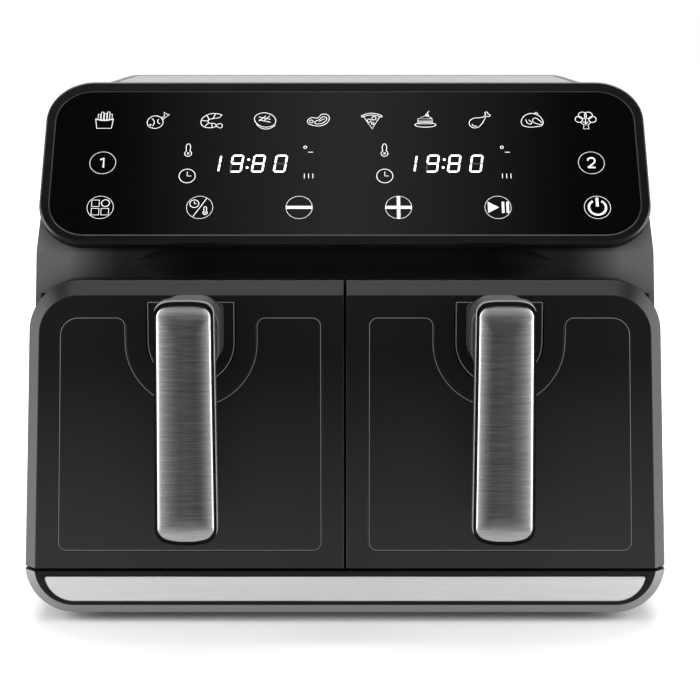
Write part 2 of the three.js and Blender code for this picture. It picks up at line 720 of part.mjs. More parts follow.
// The plate on the front, cut away in a half round below the handle's mount.
function inlayOutline(inset) {
  const outerTop = INLAY.outerTop - inset;
  const outerFoot = INLAY.outerFoot - inset;
  const innerSide = INLAY.inner + inset;
  const low = INLAY.low + inset;
  const top = INLAY.high - inset;
  const notch = NOTCH.outer + inset;
  const [small, large] = [INLAY_CORNERS.small - inset, INLAY_CORNERS.large - inset];
  const quarter = Math.PI / 2;
  const shape = new THREE.Shape();
  shape.moveTo(innerSide + small, low);
  shape.lineTo(outerFoot - small, low);
  shape.absarc(outerFoot - small, low + small, small, -quarter, 0, false);
  shape.lineTo(outerTop, top - large);
  shape.absarc(outerTop - large, top - large, large, 0, quarter, false);
  shape.lineTo(HANDLE_X + notch + small, top);
  shape.absarc(HANDLE_X + notch + small, top - small, small, quarter, Math.PI, false);
  shape.absarc(HANDLE_X, NOTCH.z, notch, 0, -Math.PI, true);
  shape.absarc(HANDLE_X - notch - small, top - small, small, 0, quarter, false);
  shape.lineTo(innerSide + small, top);
  shape.absarc(innerSide + small, top - small, small, quarter, Math.PI, false);
  shape.lineTo(innerSide, low + small);
  shape.absarc(innerSide + small, low + small, small, Math.PI, 3 * quarter, false);
  return shape;
}

// The field is a half round below and straight-sided above.
function notchOutline(inset) {
  const radius = NOTCH.inner - inset;
  const shape = new THREE.Shape();
  shape.moveTo(HANDLE_X - radius, NOTCH.top - inset);
  shape.lineTo(HANDLE_X - radius, NOTCH.z);
  shape.absarc(HANDLE_X, NOTCH.z, radius, Math.PI, 2 * Math.PI, false);
  shape.lineTo(HANDLE_X + radius, NOTCH.top - inset);
  return shape;
}

const INLAY_THICKNESS = 1.2;
const ESCUTCHEON_THICKNESS = 2;
const ESCUTCHEON_SINK = 0.7; // below the face of the drawer front
const ESCUTCHEON_BACK_Y = FACE_Y + ESCUTCHEON_SINK + ESCUTCHEON_THICKNESS;
const HOLLOW = { corner: 23, inset: 9 }; // in the back of the drawer front

function drawerFront() {
  const full = extrudeY(
    archOutline(frontHalfWidth, FRONT_BOTTOM - 2 * PAST, FRONT_TOP, FRONT_CORNER, 0),
    FACE_Y,
    FACE_Y + 2 * FRONT_DEPTH,
    SMOOTH,
    FRONT_CHAMFER,
  );
  const bounds = block(
    SPLIT_GAP / 2,
    BASE_HALF_WIDTH + PAST,
    FACE_Y - PAST,
    FACE_Y + FRONT_DEPTH,
    FRONT_BOTTOM,
    FRONT_TOP + PAST,
  );
  const low = FRONT_BOTTOM + FRONT_WALL;
  const hollow = overlap(
    extrudeY(
      archOutline(frontHalfWidth, FRONT_BOTTOM, FRONT_TOP, HOLLOW.corner, HOLLOW.inset),
      FACE_Y + FRONT_WALL,
      FACE_Y + FRONT_DEPTH + PAST,
      SMOOTH,
    ),
    block(FRONT_WALL, BASE_HALF_WIDTH, FACE_Y, FACE_Y + 2 * FRONT_DEPTH, low, FRONT_TOP),
  );
  return cut(
    overlap(full, bounds),
    hollow,
    extrudeY(inlayOutline(-GAP), FACE_Y - 1, FACE_Y + INLAY_THICKNESS + GAP, SMOOTH),
    extrudeY(notchOutline(-GAP), FACE_Y - 1, ESCUTCHEON_BACK_Y + GAP, SMOOTH),
  );
}

const frontInlay = () => extrudeY(inlayOutline(0), FACE_Y, FACE_Y + INLAY_THICKNESS, SMOOTH);

const handleEscutcheon = () =>
  extrudeY(notchOutline(0), FACE_Y + ESCUTCHEON_SINK, ESCUTCHEON_BACK_Y, SMOOTH);

const BACK_PLATE_THICKNESS = 3;

// Closes the hollow of the drawer front and carries the pan.
function drawerBackPlate() {
  return overlap(
    extrudeY(
      archOutline(frontHalfWidth, FRONT_BOTTOM, FRONT_TOP, HOLLOW.corner, HOLLOW.inset + GAP),
      FACE_Y + FRONT_DEPTH - BACK_PLATE_THICKNESS,
      FACE_Y + FRONT_DEPTH,
      SMOOTH,
    ),
    block(
      FRONT_WALL + GAP,
      BASE_HALF_WIDTH,
      FACE_Y,
      FACE_Y + 2 * FRONT_DEPTH,
      FRONT_BOTTOM + FRONT_WALL + GAP,
      FRONT_TOP,
    ),
  );
}

const handleBackY = FACE_Y - HANDLE.standOff + HANDLE.thickness;

const MOUNT = { halfWidth: 19, low: 160, high: 201, radii: [14, 14, 11, 11] };

// The block between the handle and the front. Its foot sits in the U-shaped field.
function handleMount() {
  const { halfWidth, low, high, radii } = MOUNT;
  const outline = (top) => rounded(HANDLE_X - halfWidth, HANDLE_X + halfWidth, low, top, radii);
  const foot = outline(NOTCH.top - GAP);
  return join(
    extrudeY(outline(high), handleBackY + GAP, FACE_Y - GAP, SMOOTH),
    extrudeY(foot, handleBackY + FRONT_DEPTH, FACE_Y + ESCUTCHEON_SINK - GAP, SMOOTH),
  );
}

// A bar slightly wider at the foot, with shallow curved ends.
function handleOutline(inset) {
  const { low, high, halfTop, halfBottom } = HANDLE;
  const top = halfTop - inset;
  const foot = halfBottom - inset;
  const zLow = low + inset * 1.4;
  const zHigh = high - inset * 1.6;
  const shape = new THREE.Shape();
  shape.moveTo(HANDLE_X, zLow);
  shape.bezierCurveTo(HANDLE_X + foot * 0.55, zLow, HANDLE_X + foot, zLow + 2, HANDLE_X + foot, zLow + 9);
  shape.lineTo(HANDLE_X + top, zHigh - 7);
  shape.bezierCurveTo(HANDLE_X + top, zHigh - 1.5, HANDLE_X + top * 0.6, zHigh, HANDLE_X, zHigh);
  shape.bezierCurveTo(HANDLE_X - top * 0.6, zHigh, HANDLE_X - top, zHigh - 1.5, HANDLE_X - top, zHigh - 7);
  shape.lineTo(HANDLE_X - foot, zLow + 9);
  shape.bezierCurveTo(HANDLE_X - foot, zLow + 2, HANDLE_X - foot * 0.55, zLow, HANDLE_X, zLow);
  return shape;
}

const HANDLE_RIM = 2;
const INSERT_THICKNESS = 1.8;

function handleFrame() {
  const front = FACE_Y - HANDLE.standOff;
  return cut(
    extrudeY(handleOutline(0), front, handleBackY, SMOOTH, 1.5, 1),
    extrudeY(handleOutline(HANDLE_RIM - GAP), front - 1, front + INSERT_THICKNESS, SMOOTH),
  );
}

function handleInsert() {
  const back = FACE_Y - HANDLE.standOff + INSERT_THICKNESS - GAP;
  return extrudeY(handleOutline(HANDLE_RIM), back - INSERT_THICKNESS, back, SMOOTH);
}

const PAN_FOOT_ROUND = 8; // where the pan's walls meet its bottom

function pan() {
  const { halfWidth, front, back, low, high, corner, wall, rim } = PAN;
  const outline = (inset) => {
    const side = halfWidth - inset;
    return rounded(-side, side, front + inset, back - inset, corner - inset);
  };
  const body = extrudeZ(outline(0), low, high + PAST, ROUND, PAN_FOOT_ROUND, 2);
  const above = block(-halfWidth - PAST, halfWidth + PAST, front - PAST, back + PAST, high, high + 2 * PAST);
  const rimOutline = rounded(-halfWidth - rim, halfWidth + rim, front, back + rim, corner);
  const lip = extrudeZ(rimOutline, high - wall, high);
  const hollow = extrudeZ(outline(wall), low + wall, high + 2 * PAST, ROUND, PAN_FOOT_ROUND - 1, 2);
  return cut(join(cut(body, above), lip), hollow).translate(CELL_X, 0, 0);
}

const SLOT = { columns: 3, rows: 7, width: 34, height: 6, gap: 8, margin: 20 };
const PLATE_FOOT = { x: 50, inset: 30, radius: 6 };
const FINGER_HOLE = 11; // radius

// The lift-out plate: slots let fat through, a middle hole takes a finger, and pressed feet hold it up.
function crisperPlate() {
  const { halfWidth, low, thickness, margin, corner } = PLATE;
  const front = PAN.front + PAN.wall + margin;
  const back = PAN.back - PAN.wall - margin;
  const middle = (front + back) / 2;
  const sheet = extrudeZ(rounded(-halfWidth, halfWidth, front, back, corner), low, low + thickness);
  const footLow = PAN.low + PAN.wall + GAP;
  const { x: footX, inset, radius } = PLATE_FOOT;
  const feet = [];
  for (const x of [-footX, footX]) {
    for (const y of [front + inset, back - inset]) feet.push(post(radius, footLow, low + 0.5, x, y, 12));
  }
  const holes = [post(FINGER_HOLE, low - PAST, low + PAST, 0, middle, 16)];
  const pitchX = SLOT.width + SLOT.gap;
  const pitchY = (back - front - 2 * SLOT.margin) / (SLOT.rows - 1);
  for (let column = 0; column < SLOT.columns; column++) {
    for (let row = 0; row < SLOT.rows; row++) {
      const x = (column - (SLOT.columns - 1) / 2) * pitchX;
      const y = middle + (row - (SLOT.rows - 1) / 2) * pitchY;
      if (column === 1 && row === (SLOT.rows - 1) / 2) continue;
      if (column !== 1 && (row === 0 || row === SLOT.rows - 1)) continue;
      const [w, h] = [SLOT.width / 2, SLOT.height / 2];
      holes.push(block(x - w, x + w, y - h, y + h, low - PAST / 2, low + PAST / 2));
    }
  }
  return join(cut(sheet, ...holes), ...feet).translate(CELL_X, 0, 0);
}

// ---- Assembly ----

const appliance = new THREE.Group();

appliance.add(
  named("base_tray", baseTray(), HOUSING_GREY),
  named("base_trim", baseTrim(), BRUSHED_STEEL),
  named("outer_housing", outerHousing(), HOUSING_GREY),
  named("top_plate", topPlate(), BRUSHED_STEEL),
  named("rear_cover", rearCover(), HOUSING_GREY),
  named("cord_gland", cordGland(), RUBBER),
  named("front_frame", frontFrame(), FRONT_BLACK),
  named("motor_deck", motorDeck(), LINER_STEEL),
  named("power_board", powerBoard(), BOARD_GREEN),
);

for (const [place, x, y] of FOOT_PLACES) appliance.add(named(`foot_${place}`, foot(x, y), RUBBER));

const SIDES = Object.entries({ left: -1, right: 1 });

["front", "rear"].forEach((row, i) => {
  for (const [side, sign] of SIDES) {
    const screw = baseScrew(sign * SCREW.x, SCREW_ROWS[i]);
    appliance.add(named(`base_screw_${row}_${side}`, screw, SCREW_STEEL));
  }
});

panelGroup.add(
  named("panel_frame", panelFrame(), GLOSS_BLACK),
  named("panel_glass", panelGlass(), PANEL_BLACK),
  named("control_board", controlBoard(), BOARD_GREEN),
);
appliance.add(panelGroup);

for (const [side, sign] of SIDES) {
  // Handed pieces are drawn for the right and mirrored for the left.
  const handed = new THREE.Group();
  handed.scale.x = sign;
  handed.add(
    named(`drawer_front_${side}`, drawerFront(), FRONT_BLACK),
    named(`front_inlay_${side}`, frontInlay(), FRONT_BLACK),
    named(`handle_escutcheon_${side}`, handleEscutcheon(), FRONT_BLACK),
    named(`drawer_back_plate_${side}`, drawerBackPlate(), FRONT_BLACK),
    named(`handle_mount_${side}`, handleMount(), HOUSING_GREY),
    named(`handle_frame_${side}`, handleFrame(), GLOSS_BLACK),
    named(`handle_insert_${side}`, handleInsert(), BRUSHED_STEEL),
    named(`pan_${side}`, pan(), NON_STICK),
    named(`crisper_plate_${side}`, crisperPlate(), NON_STICK),
    named(`cavity_liner_${side}`, cavityLiner(), LINER_STEEL),
    named(`drawer_switch_${side}`, drawerSwitch(), WHITE_NYLON),
  );
  appliance.add(handed);

  // Bought-in pieces are the same on both sides, so they are moved and not mirrored.
  const cell = new THREE.Group();
  cell.position.x = sign * CELL_X;
  cell.add(
    named(`heating_element_${side}`, heatingElement(), HEATER_METAL),
    named(`element_guard_${side}`, elementGuard(), HEATER_METAL),
    named(`impeller_${side}`, fan(IMPELLER), LINER_STEEL),
    named(`cooling_fan_${side}`, fan(COOLER), WHITE_NYLON),
    named(`motor_${side}`, motor(), MOTOR_METAL),
    named(`motor_shaft_${side}`, motorShaft(), SCREW_STEEL),
    named(`temperature_sensor_${side}`, temperatureSensor(), SCREW_STEEL),
    named(`exhaust_duct_${side}`, exhaustDuct(), LINER_STEEL),
  );
  appliance.add(cell, named(`rear_spacer_${side}`, rearSpacer(sign), HOUSING_GREY));
}

export default appliance;
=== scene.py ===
"""The finished look of a dual-drawer countertop air fryer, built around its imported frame."""

from __future__ import annotations

import logging
import math
from dataclasses import dataclass
from enum import Enum
from typing import Callable, Sequence

import bmesh
import bpy
from mathutils import Matrix, Vector


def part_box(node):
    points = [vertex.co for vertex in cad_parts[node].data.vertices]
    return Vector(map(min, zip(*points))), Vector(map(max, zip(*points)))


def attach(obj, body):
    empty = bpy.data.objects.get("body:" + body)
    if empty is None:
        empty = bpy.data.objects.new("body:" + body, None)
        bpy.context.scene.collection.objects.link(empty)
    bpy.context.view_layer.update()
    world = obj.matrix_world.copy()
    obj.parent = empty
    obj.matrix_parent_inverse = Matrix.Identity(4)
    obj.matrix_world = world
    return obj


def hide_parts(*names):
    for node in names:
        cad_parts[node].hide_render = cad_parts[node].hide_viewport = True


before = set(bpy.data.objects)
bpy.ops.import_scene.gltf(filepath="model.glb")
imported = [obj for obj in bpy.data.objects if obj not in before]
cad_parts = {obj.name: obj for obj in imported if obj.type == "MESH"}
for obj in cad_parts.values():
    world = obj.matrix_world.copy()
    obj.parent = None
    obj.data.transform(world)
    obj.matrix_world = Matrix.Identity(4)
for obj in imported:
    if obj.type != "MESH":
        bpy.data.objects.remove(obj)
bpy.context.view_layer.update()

LOG = logging.getLogger("air_fryer")
MM = 0.001  # pieces are drawn in millimetres and set in the frame in metres
CLEAR = 0.3  # gap between pieces that touch, as in the frame
SIDE_DRAFT = 0.0385  # lean of the body's side walls, in millimetres per millimetre of height
FRONT_HALF = 194.0  # half the width of the drawer fronts at their foot
FRONT_FOOT = 34.0  # the height of that foot
BODY_SETBACK = 1.5  # how much narrower than the drawer fronts the body is, each side
CELL_X = 94.5  # from the middle of the object to the middle of a cooking position
MERGE = 1e-4  # points nearer than this are one point
WHITE = (1.0, 1.0, 1.0, 1.0)

Colour = tuple[float, float, float]
Corner = tuple[float, float, float]  # across, up, and how far each edge is rounded from the corner
Mesh = bmesh.types.BMesh


class Side(Enum):
    """The two cooking positions, with the sign of their X."""

    LEFT = -1
    RIGHT = 1

    @property
    def word(self) -> str:
        """The side's name as node names end."""
        return self.name.lower()


@dataclass(frozen=True)
class Extent:
    """The box round a CAD node, in millimetres."""

    low: Vector
    high: Vector

    @classmethod
    def of(cls, node: str) -> Extent:
        """Reads the box of a node from the frame."""
        low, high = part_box(node)
        return cls(Vector(low) / MM, Vector(high) / MM)

    @property
    def middle(self) -> Vector:
        """The centre of the box."""
        return (self.low + self.high) / 2


# ---- Mesh work ----


def bevelled(made: Mesh, geom: list, affect: str, offset: float, segments: int) -> None:
    """Rounds corners or edges of a mesh.

    Args:
        made: The mesh to work on.
        geom: The corners or edges to round.
        affect: VERTICES or EDGES.
        offset: How far the rounding reaches.
        segments: How many faces or edges stand across it.
    """
    bmesh.ops.bevel(
        made,
        geom=geom,
        offset=offset,
        offset_type="OFFSET",
        segments=segments,
        profile=0.5,
        affect=affect,
        material=-1,
        clamp_overlap=affect == "EDGES",
    )


def blank(corners: Sequence[Corner], segments: int = 10) -> Mesh:
    """Makes a flat face with rounded corners.

    Args:
        corners: The outline's corners in order, each with its rounding.
        segments: How many edges stand for a rounded corner.

    Returns:
        A mesh with one face in the drawing plane.
    """
    made = bmesh.new()
    points = [made.verts.new((across, up, 0.0)) for across, up, _ in corners]
    made.faces.new(points)
    for point, (_, _, rounding) in zip(points, corners):
        if rounding > 0:
            bevelled(made, [point], "VERTICES", rounding, segments)
    made.normal_update()
    if made.faces[:][0].normal.z < 0:
        bmesh.ops.reverse_faces(made, faces=made.faces[:])
    return made


def rectangle(
    left: float, right: float, low: float, high: float, rounding: float = 0.0
) -> list[Corner]:
    """The corners of a rectangle with one rounding."""
    places = (left, low), (right, low), (right, high), (left, high)
    return [(across, up, rounding) for across, up in places]


def thicken(made: Mesh, depth: float) -> Mesh:
    """Makes a flat face a closed slab that reaches back by depth."""
    grown = bmesh.ops.extrude_face_region(made, geom=made.faces[:])
    moved = [item for item in grown["geom"] if isinstance(item, bmesh.types.BMVert)]
    bmesh.ops.translate(made, vec=(0.0, 0.0, -depth), verts=moved)
    bmesh.ops.recalc_face_normals(made, faces=made.faces[:])
    return made


def chamfer(
    made: Mesh,
    wanted: Callable[[Vector, Vector], bool],
    offset: float,
    segments: int = 1,
) -> Mesh:
    """Bevels the edges whose two ends pass a test.

    Args:
        made: The mesh to bevel.
        wanted: A test of an edge's two end points.
        offset: How far the bevel reaches from the edge.
        segments: How many faces stand across the bevel.

    Returns:
        The same mesh.
    """
    edges = [edge for edge in made.edges if wanted(edge.verts[0].co, edge.verts[1].co)]
    bevelled(made, edges, "EDGES", offset, segments)
    return made


def trimmed(made: Mesh, point: Vector, outwards: Vector) -> Mesh:
    """Cuts a closed mesh off at a plane and closes it there.

    Args:
        made: The mesh to cut.
        point: A point of the plane.
        outwards: The direction of what is cut away.

    Returns:
        The same mesh.
    """
    cut = bmesh.ops.bisect_plane(
        made,
        geom=made.verts[:] + made.edges[:] + made.faces[:],
        plane_co=point,
        plane_no=outwards,
        clear_outer=True,
    )
    rim = [item for item in cut["geom_cut"] if isinstance(item, bmesh.types.BMEdge)]
    bmesh.ops.contextual_create(made, geom=rim)
    bmesh.ops.recalc_face_normals(made, faces=made.faces[:])
    return made


def border(
    outline: Callable[[float], list[Corner]], width: float, depth: float, segments: int
) -> Mesh:
    """A narrow band along the inner side of an outline.

    Args:
        outline: The outline for a given amount of letting out.
        width: The width of the band.
        depth: How far it reaches back.
        segments: How many edges stand for a rounded corner.

    Returns:
        A closed mesh.
    """
    inner = moved(thicken(blank(outline(-width), segments), 4 * depth), level(2 * depth))
    return combine(thicken(blank(outline(0), segments), depth), "DIFFERENCE", inner)


def at_level(height: float, slack: float = 0.01) -> Callable[[Vector, Vector], bool]:
    """A test for edges that lie at one distance from the drawing plane."""
    return lambda one, two: abs(one.z - height) < slack and abs(two.z - height) < slack


def spun(made: Mesh, steps: int) -> Mesh:
    """Turns all that a mesh holds once about the drawing plane's normal and closes it."""
    bmesh.ops.spin(
        made,
        geom=made.verts[:] + made.edges[:],
        cent=(0, 0, 0),
        axis=(0, 0, 1),
        angle=math.tau,
        steps=steps,
        use_merge=True,
    )
    return cleaned(made)


def cleaned(made: Mesh) -> Mesh:
    """Merges the points of a mesh that coincide, and turns its faces outwards."""
    bmesh.ops.remove_doubles(made, verts=made.verts[:], dist=MERGE)
    bmesh.ops.recalc_face_normals(made, faces=made.faces[:])
    return made


def turned(profile: Sequence[tuple[float, float]], steps: int = 48) -> Mesh:
    """Turns a profile about the drawing plane's normal.

    Args:
        profile: Radius and height of each point, from one end of the axis to the other.
        steps: How many faces stand round the axis.

    Returns:
        A closed mesh.
    """
    made = bmesh.new()
    points = [made.verts.new((radius, 0.0, height)) for radius, height in profile]
    for pair in zip(points, points[1:]):
        made.edges.new(pair)
    return spun(made, steps)


def hoop(radius: float, wire: float, steps: int = 64, sides: int = 8) -> Mesh:
    """A round wire ring in the drawing plane."""
    made = bmesh.new()
    circle = bmesh.ops.create_circle(made, segments=sides, radius=wire)
    stand = Matrix.Translation((radius, 0, 0)) @ Matrix.Rotation(math.pi / 2, 4, "X")
    bmesh.ops.transform(made, matrix=stand, verts=circle["verts"])
    return spun(made, steps)


def bar(radius: float, length: float, sides: int = 12) -> Mesh:
    """A round bar that runs away from the drawing plane by length on each side of it."""
    made = bmesh.new()
    bmesh.ops.create_cone(
        made, cap_ends=True, segments=sides, radius1=radius, radius2=radius, depth=2 * length
    )
    return made


def moved(made: Mesh, *steps: Matrix) -> Mesh:
    """Applies placements to a mesh, the last one first, and keeps its faces outwards."""
    whole = Matrix.Identity(4)
    for step in steps:
        whole = whole @ step
    bmesh.ops.transform(made, matrix=whole, verts=made.verts[:])
    if whole.determinant() < 0:
        bmesh.ops.reverse_faces(made, faces=made.faces[:])
    return made


def together(*parts: Mesh) -> Mesh:
    """Puts several meshes in one, with no joining of their surfaces."""
    whole = bmesh.new()
    for part in parts:
        data = bpy.data.meshes.new("part")
        part.to_mesh(data)
        part.free()
        whole.from_mesh(data)
        bpy.data.meshes.remove(data)
    return whole


def combine(base: Mesh, operation: str, *tools: Mesh) -> Mesh:
    """Cuts tools from a mesh, or joins them to it.

    Args:
        base: The mesh to work on. It is used up.
        operation: DIFFERENCE, UNION or INTERSECT.
        tools: The other meshes, which are used up too.

    Returns:
        The resulting mesh.
    """

    def as_object(made: Mesh) -> bpy.types.Object:
        """Puts a mesh in the scene for a modifier to use."""
        data = bpy.data.meshes.new("boolean")
        made.to_mesh(data)
        made.free()
        thing = bpy.data.objects.new("boolean", data)
        bpy.context.scene.collection.objects.link(thing)
        return thing

    work = as_object(base)
    others = [as_object(tool) for tool in tools]
    for other in others:
        modifier = work.modifiers.new("boolean", "BOOLEAN")
        modifier.operation = operation
        modifier.solver = "EXACT"
        modifier.object = other
    bpy.context.view_layer.update()
    evaluated = work.evaluated_get(bpy.context.evaluated_depsgraph_get())
    result = bpy.data.meshes.new_from_object(evaluated)
    made = bmesh.new()
    made.from_mesh(result)
    for thing in [work, *others]:
        data = thing.data
        bpy.data.objects.remove(thing)
        bpy.data.meshes.remove(data)
    bpy.data.meshes.remove(result)
    bmesh.ops.remove_doubles(made, verts=made.verts[:], dist=MERGE)
    return made


@dataclass(frozen=True)
class Stroke:
    """One drawn line."""

    points: Sequence[tuple[float, ...]]
    closed: bool = False
    smooth: bool = True


def tube(paths: Sequence[Stroke], radius: float, flatten: float = 1.0, sides: int = 2) -> Mesh:
    """Draws round lines through points.

    Args:
        paths: The lines to draw.
        radius: Half the thickness of a line.
        flatten: The height of a line over its width.
        sides: Blender's count of extra sides on a quarter of a line's section.

    Returns:
        A mesh of all the lines.
    """
    curve = bpy.data.curves.new("lines", "CURVE")
    curve.dimensions = "3D"
    curve.bevel_depth = radius
    curve.bevel_resolution = sides
    curve.use_fill_caps = True
    curve.resolution_u = 6
    for path in paths:
        spline = curve.splines.new("BEZIER")
        spline.bezier_points.add(len(path.points) - 1)
        for knot, point in zip(spline.bezier_points, path.points):
            knot.co = point if len(point) == 3 else (*point, 0.0)
            knot.handle_left_type = knot.handle_right_type = "AUTO" if path.smooth else "VECTOR"
        spline.use_cyclic_u = path.closed
    thing = bpy.data.objects.new("lines", curve)
    bpy.context.scene.collection.objects.link(thing)
    bpy.context.view_layer.update()
    evaluated = thing.evaluated_get(bpy.context.evaluated_depsgraph_get())
    result = bpy.data.meshes.new_from_object(evaluated)
    made = bmesh.new()
    made.from_mesh(result)
    bpy.data.objects.remove(thing)
    bpy.data.curves.remove(curve)
    bpy.data.meshes.remove(result)
    bmesh.ops.scale(made, vec=(1, 1, flatten), verts=made.verts[:])
    return cleaned(made)


def frontal(face_y: float) -> Matrix:
    """Sets a drawing upright, facing the front, with its plane at face_y."""
    return Matrix.Translation((0, face_y, 0)) @ Matrix.Rotation(math.pi / 2, 4, "X")


def level(height: float) -> Matrix:
    """Sets a drawing level, facing upwards, with its plane at a height."""
    return Matrix.Translation((0, 0, height))


def mirrored(side: Side) -> Matrix:
    """Turns a right-hand piece into the piece for a side."""
    return Matrix.Diagonal((side.value, 1, 1, 1))


# ---- Shader graphs ----


@dataclass(frozen=True)
class Value:
    """A socket whose arithmetic adds Math nodes."""

    graph: Graph
    socket: bpy.types.NodeSocket

    def _math(self, operation: str, one: object, two: object) -> Value:
        """Adds one Math node."""
        return self.graph.add("ShaderNodeMath", {"operation": operation}, {0: one, 1: two})

    def __add__(self, other: object) -> Value:
        """Adds a value or a number."""
        return self._math("ADD", self, other)

    __radd__ = __add__

    def __sub__(self, other: object) -> Value:
        """Takes a value or a number away."""
        return self._math("SUBTRACT", self, other)

    def __rsub__(self, other: object) -> Value:
        """Takes the value from a number."""
        return self._math("SUBTRACT", other, self)

    def __mul__(self, other: object) -> Value:
        """Multiplies by a value or a number."""
        return self._math("MULTIPLY", self, other)

    __rmul__ = __mul__


class Graph:
    """The node tree of one material, or of the world."""

    def __init__(self, name: str, world: bpy.types.World | None = None) -> None:
        """Starts a material, or the world, with an empty tree."""
        self.material = world or bpy.data.materials.new(name)
        self.material.use_nodes = True
        self.tree = self.material.node_tree
        self.tree.nodes.clear()

    def add(
        self,
        kind: str,
        settings: dict[str, object] | None = None,
        inputs: dict[str | int, object] | None = None,
        output: str | int = 0,
    ) -> Value:
        """Adds a node.

        Args:
            kind: The node's type.
            settings: Its properties, and a ramp's stops, which are set first.
            inputs: Numbers, colours or values for its sockets.
            output: The socket that the result stands for.

        Returns:
            The value of that socket.
        """
        node = self.tree.nodes.new(kind)
        for key, setting in (settings or {}).items():
            if key == "stops":
                self._set_stops(node.color_ramp, setting)
            else:
                setattr(node, key, setting)
        for key, given in (inputs or {}).items():
            if isinstance(given, Value):
                self.tree.links.new(given.socket, node.inputs[key])
            else:
                node.inputs[key].default_value = given
        return Value(self, node.outputs[output])

    @staticmethod
    def _set_stops(ramp: bpy.types.ColorRamp, stops: Sequence[tuple[float, float]]) -> None:
        """Gives a ramp grey stops at the places named."""
        while len(ramp.elements) < len(stops):
            ramp.elements.new(1.0)
        for element, (place, grey) in zip(ramp.elements, stops):
            element.position = place
            element.color = (grey, grey, grey, 1.0)

    def place(self, scale: Sequence[float] = (1, 1, 1), turn: Sequence[float] = (0, 0, 0)) -> Value:
        """Object coordinates, scaled and turned."""
        source = self.add("ShaderNodeTexCoord", output="Object")
        return self.add(
            "ShaderNodeMapping", {}, {"Vector": source, "Scale": scale, "Rotation": turn}
        )

    def parts(self, vector: Value) -> list[Value]:
        """The X, Y and Z of a vector."""
        whole = self.add("ShaderNodeSeparateXYZ", {}, {"Vector": vector})
        return [Value(self, part) for part in whole.socket.node.outputs]

    def noise(self, scale: float, vector: Value, detail: float = 3.0) -> Value:
        """A noise pattern from 0 to 1."""
        given = {"Vector": vector, "Scale": scale, "Detail": detail}
        return self.add("ShaderNodeTexNoise", {}, given, "Fac")

    def blend(self, mask: object, one: Colour | Value, two: Colour | Value) -> Value:
        """A colour that goes from one to two as the mask goes from 0 to 1."""
        ends = [end if isinstance(end, Value) else (*end, 1.0) for end in (one, two)]
        return self.add(
            "ShaderNodeMix", {"data_type": "RGBA"}, {0: mask, 6: ends[0], 7: ends[1]}, 2
        )

    def bump(self, height: Value, distance: float, strength: float = 1.0) -> Value:
        """A normal bent by a height, whose full step is distance in metres."""
        given = {"Height": height, "Distance": distance, "Strength": strength}
        return self.add("ShaderNodeBump", {}, given, "Normal")

    def ramp(self, value: Value, start: float, end: float) -> Value:
        """A number that goes from 0 to 1 as a value goes from start to end."""
        limits = {"Value": value, "From Min": start, "From Max": end}
        return self.add("ShaderNodeMapRange", {}, limits)

    def step(self, value: Value, start: float, end: float) -> Value:
        """The same as a ramp, drawn from black to white between two places."""
        return self.add("ShaderNodeValToRGB", {"stops": [(start, 0.0), (end, 1.0)]}, {"Fac": value})

    def finish(self, kind: str, shader: Value) -> None:
        """Ends the tree in an output node."""
        end = self.tree.nodes.new(kind)
        self.tree.links.new(shader.socket, end.inputs["Surface"])

    def surface(self, **sockets: object) -> bpy.types.Material:
        """Ends the tree in a Principled shader and returns the material."""
        given = {name.replace("_", " ").title(): value for name, value in sockets.items()}
        given = {("IOR" if name == "Ior" else name): value for name, value in given.items()}
        shader = self.add("ShaderNodeBsdfPrincipled", {}, given)
        self.finish("ShaderNodeOutputMaterial", shader)
        return self.material


def grey(light: float) -> Colour:
    """A neutral colour."""
    return light, light, light


def srgb(red: int, green: int, blue: int) -> Colour:
    """A screen colour of 0 to 255 as linear light."""

    def linear(channel: int) -> float:
        """One channel as linear light."""
        part = channel / 255
        return part / 12.92 if part <= 0.04045 else ((part + 0.055) / 1.055) ** 2.4

    return linear(red), linear(green), linear(blue)


# ---- Finishes ----


@dataclass(frozen=True)
class MouldedPlastic:
    """Moulded plastic with a fine spark-eroded grain."""

    name: str
    colour: Colour
    roughness: float
    grain: float = 0.35  # size of the grain in millimetres
    depth: float = 0.03  # height of the grain in millimetres
    ior: float = 1.4

    def material(self) -> bpy.types.Material:
        """Builds the material."""
        graph = Graph(self.name)
        place = graph.place()
        grain = graph.noise(1 / (self.grain * MM) / 3, place, 2.0)
        cloud = graph.noise(9.0, place, 4.0)
        lighter = tuple(min(1.0, part * 1.25 + 0.002) for part in self.colour)
        return graph.surface(
            base_color=graph.blend(cloud * 0.6 + grain * 0.4, self.colour, lighter),
            roughness=grain * 0.12 + cloud * 0.08 + (self.roughness - 0.1),
            normal=graph.bump(grain, self.depth * MM, 0.6),
            ior=self.ior,
        )


@dataclass(frozen=True)
class SatinFront(MouldedPlastic):
    """The drawers' satin plastic, with painted reflected light that makes it a little paler towards
    the foot.
    """

    # painted light: the paler colour at the foot stands for floor light reflected there
    pale: Colour = (0.0, 0.0, 0.0)
    painted_light_heights: tuple[float, float] = (0.16, 0.045)

    def material(self) -> bpy.types.Material:
        """Builds the material."""
        graph = Graph(self.name)
        place = graph.place()
        grain = graph.noise(1 / (self.grain * MM) / 3, place, 2.0)
        cloud = graph.noise(9.0, place, 4.0)
        up = graph.parts(place)[2]
        # painted light: 0 at the upper height, whole at the foot
        foot = graph.ramp(up, *self.painted_light_heights)
        return graph.surface(
            base_color=graph.blend(foot * 0.9 + (cloud + grain) * 0.05, self.colour, self.pale),
            roughness=grain * 0.12 + cloud * 0.06 + (self.roughness - 0.09),
            normal=graph.bump(grain, self.depth * MM, 0.6),
            ior=self.ior,
        )


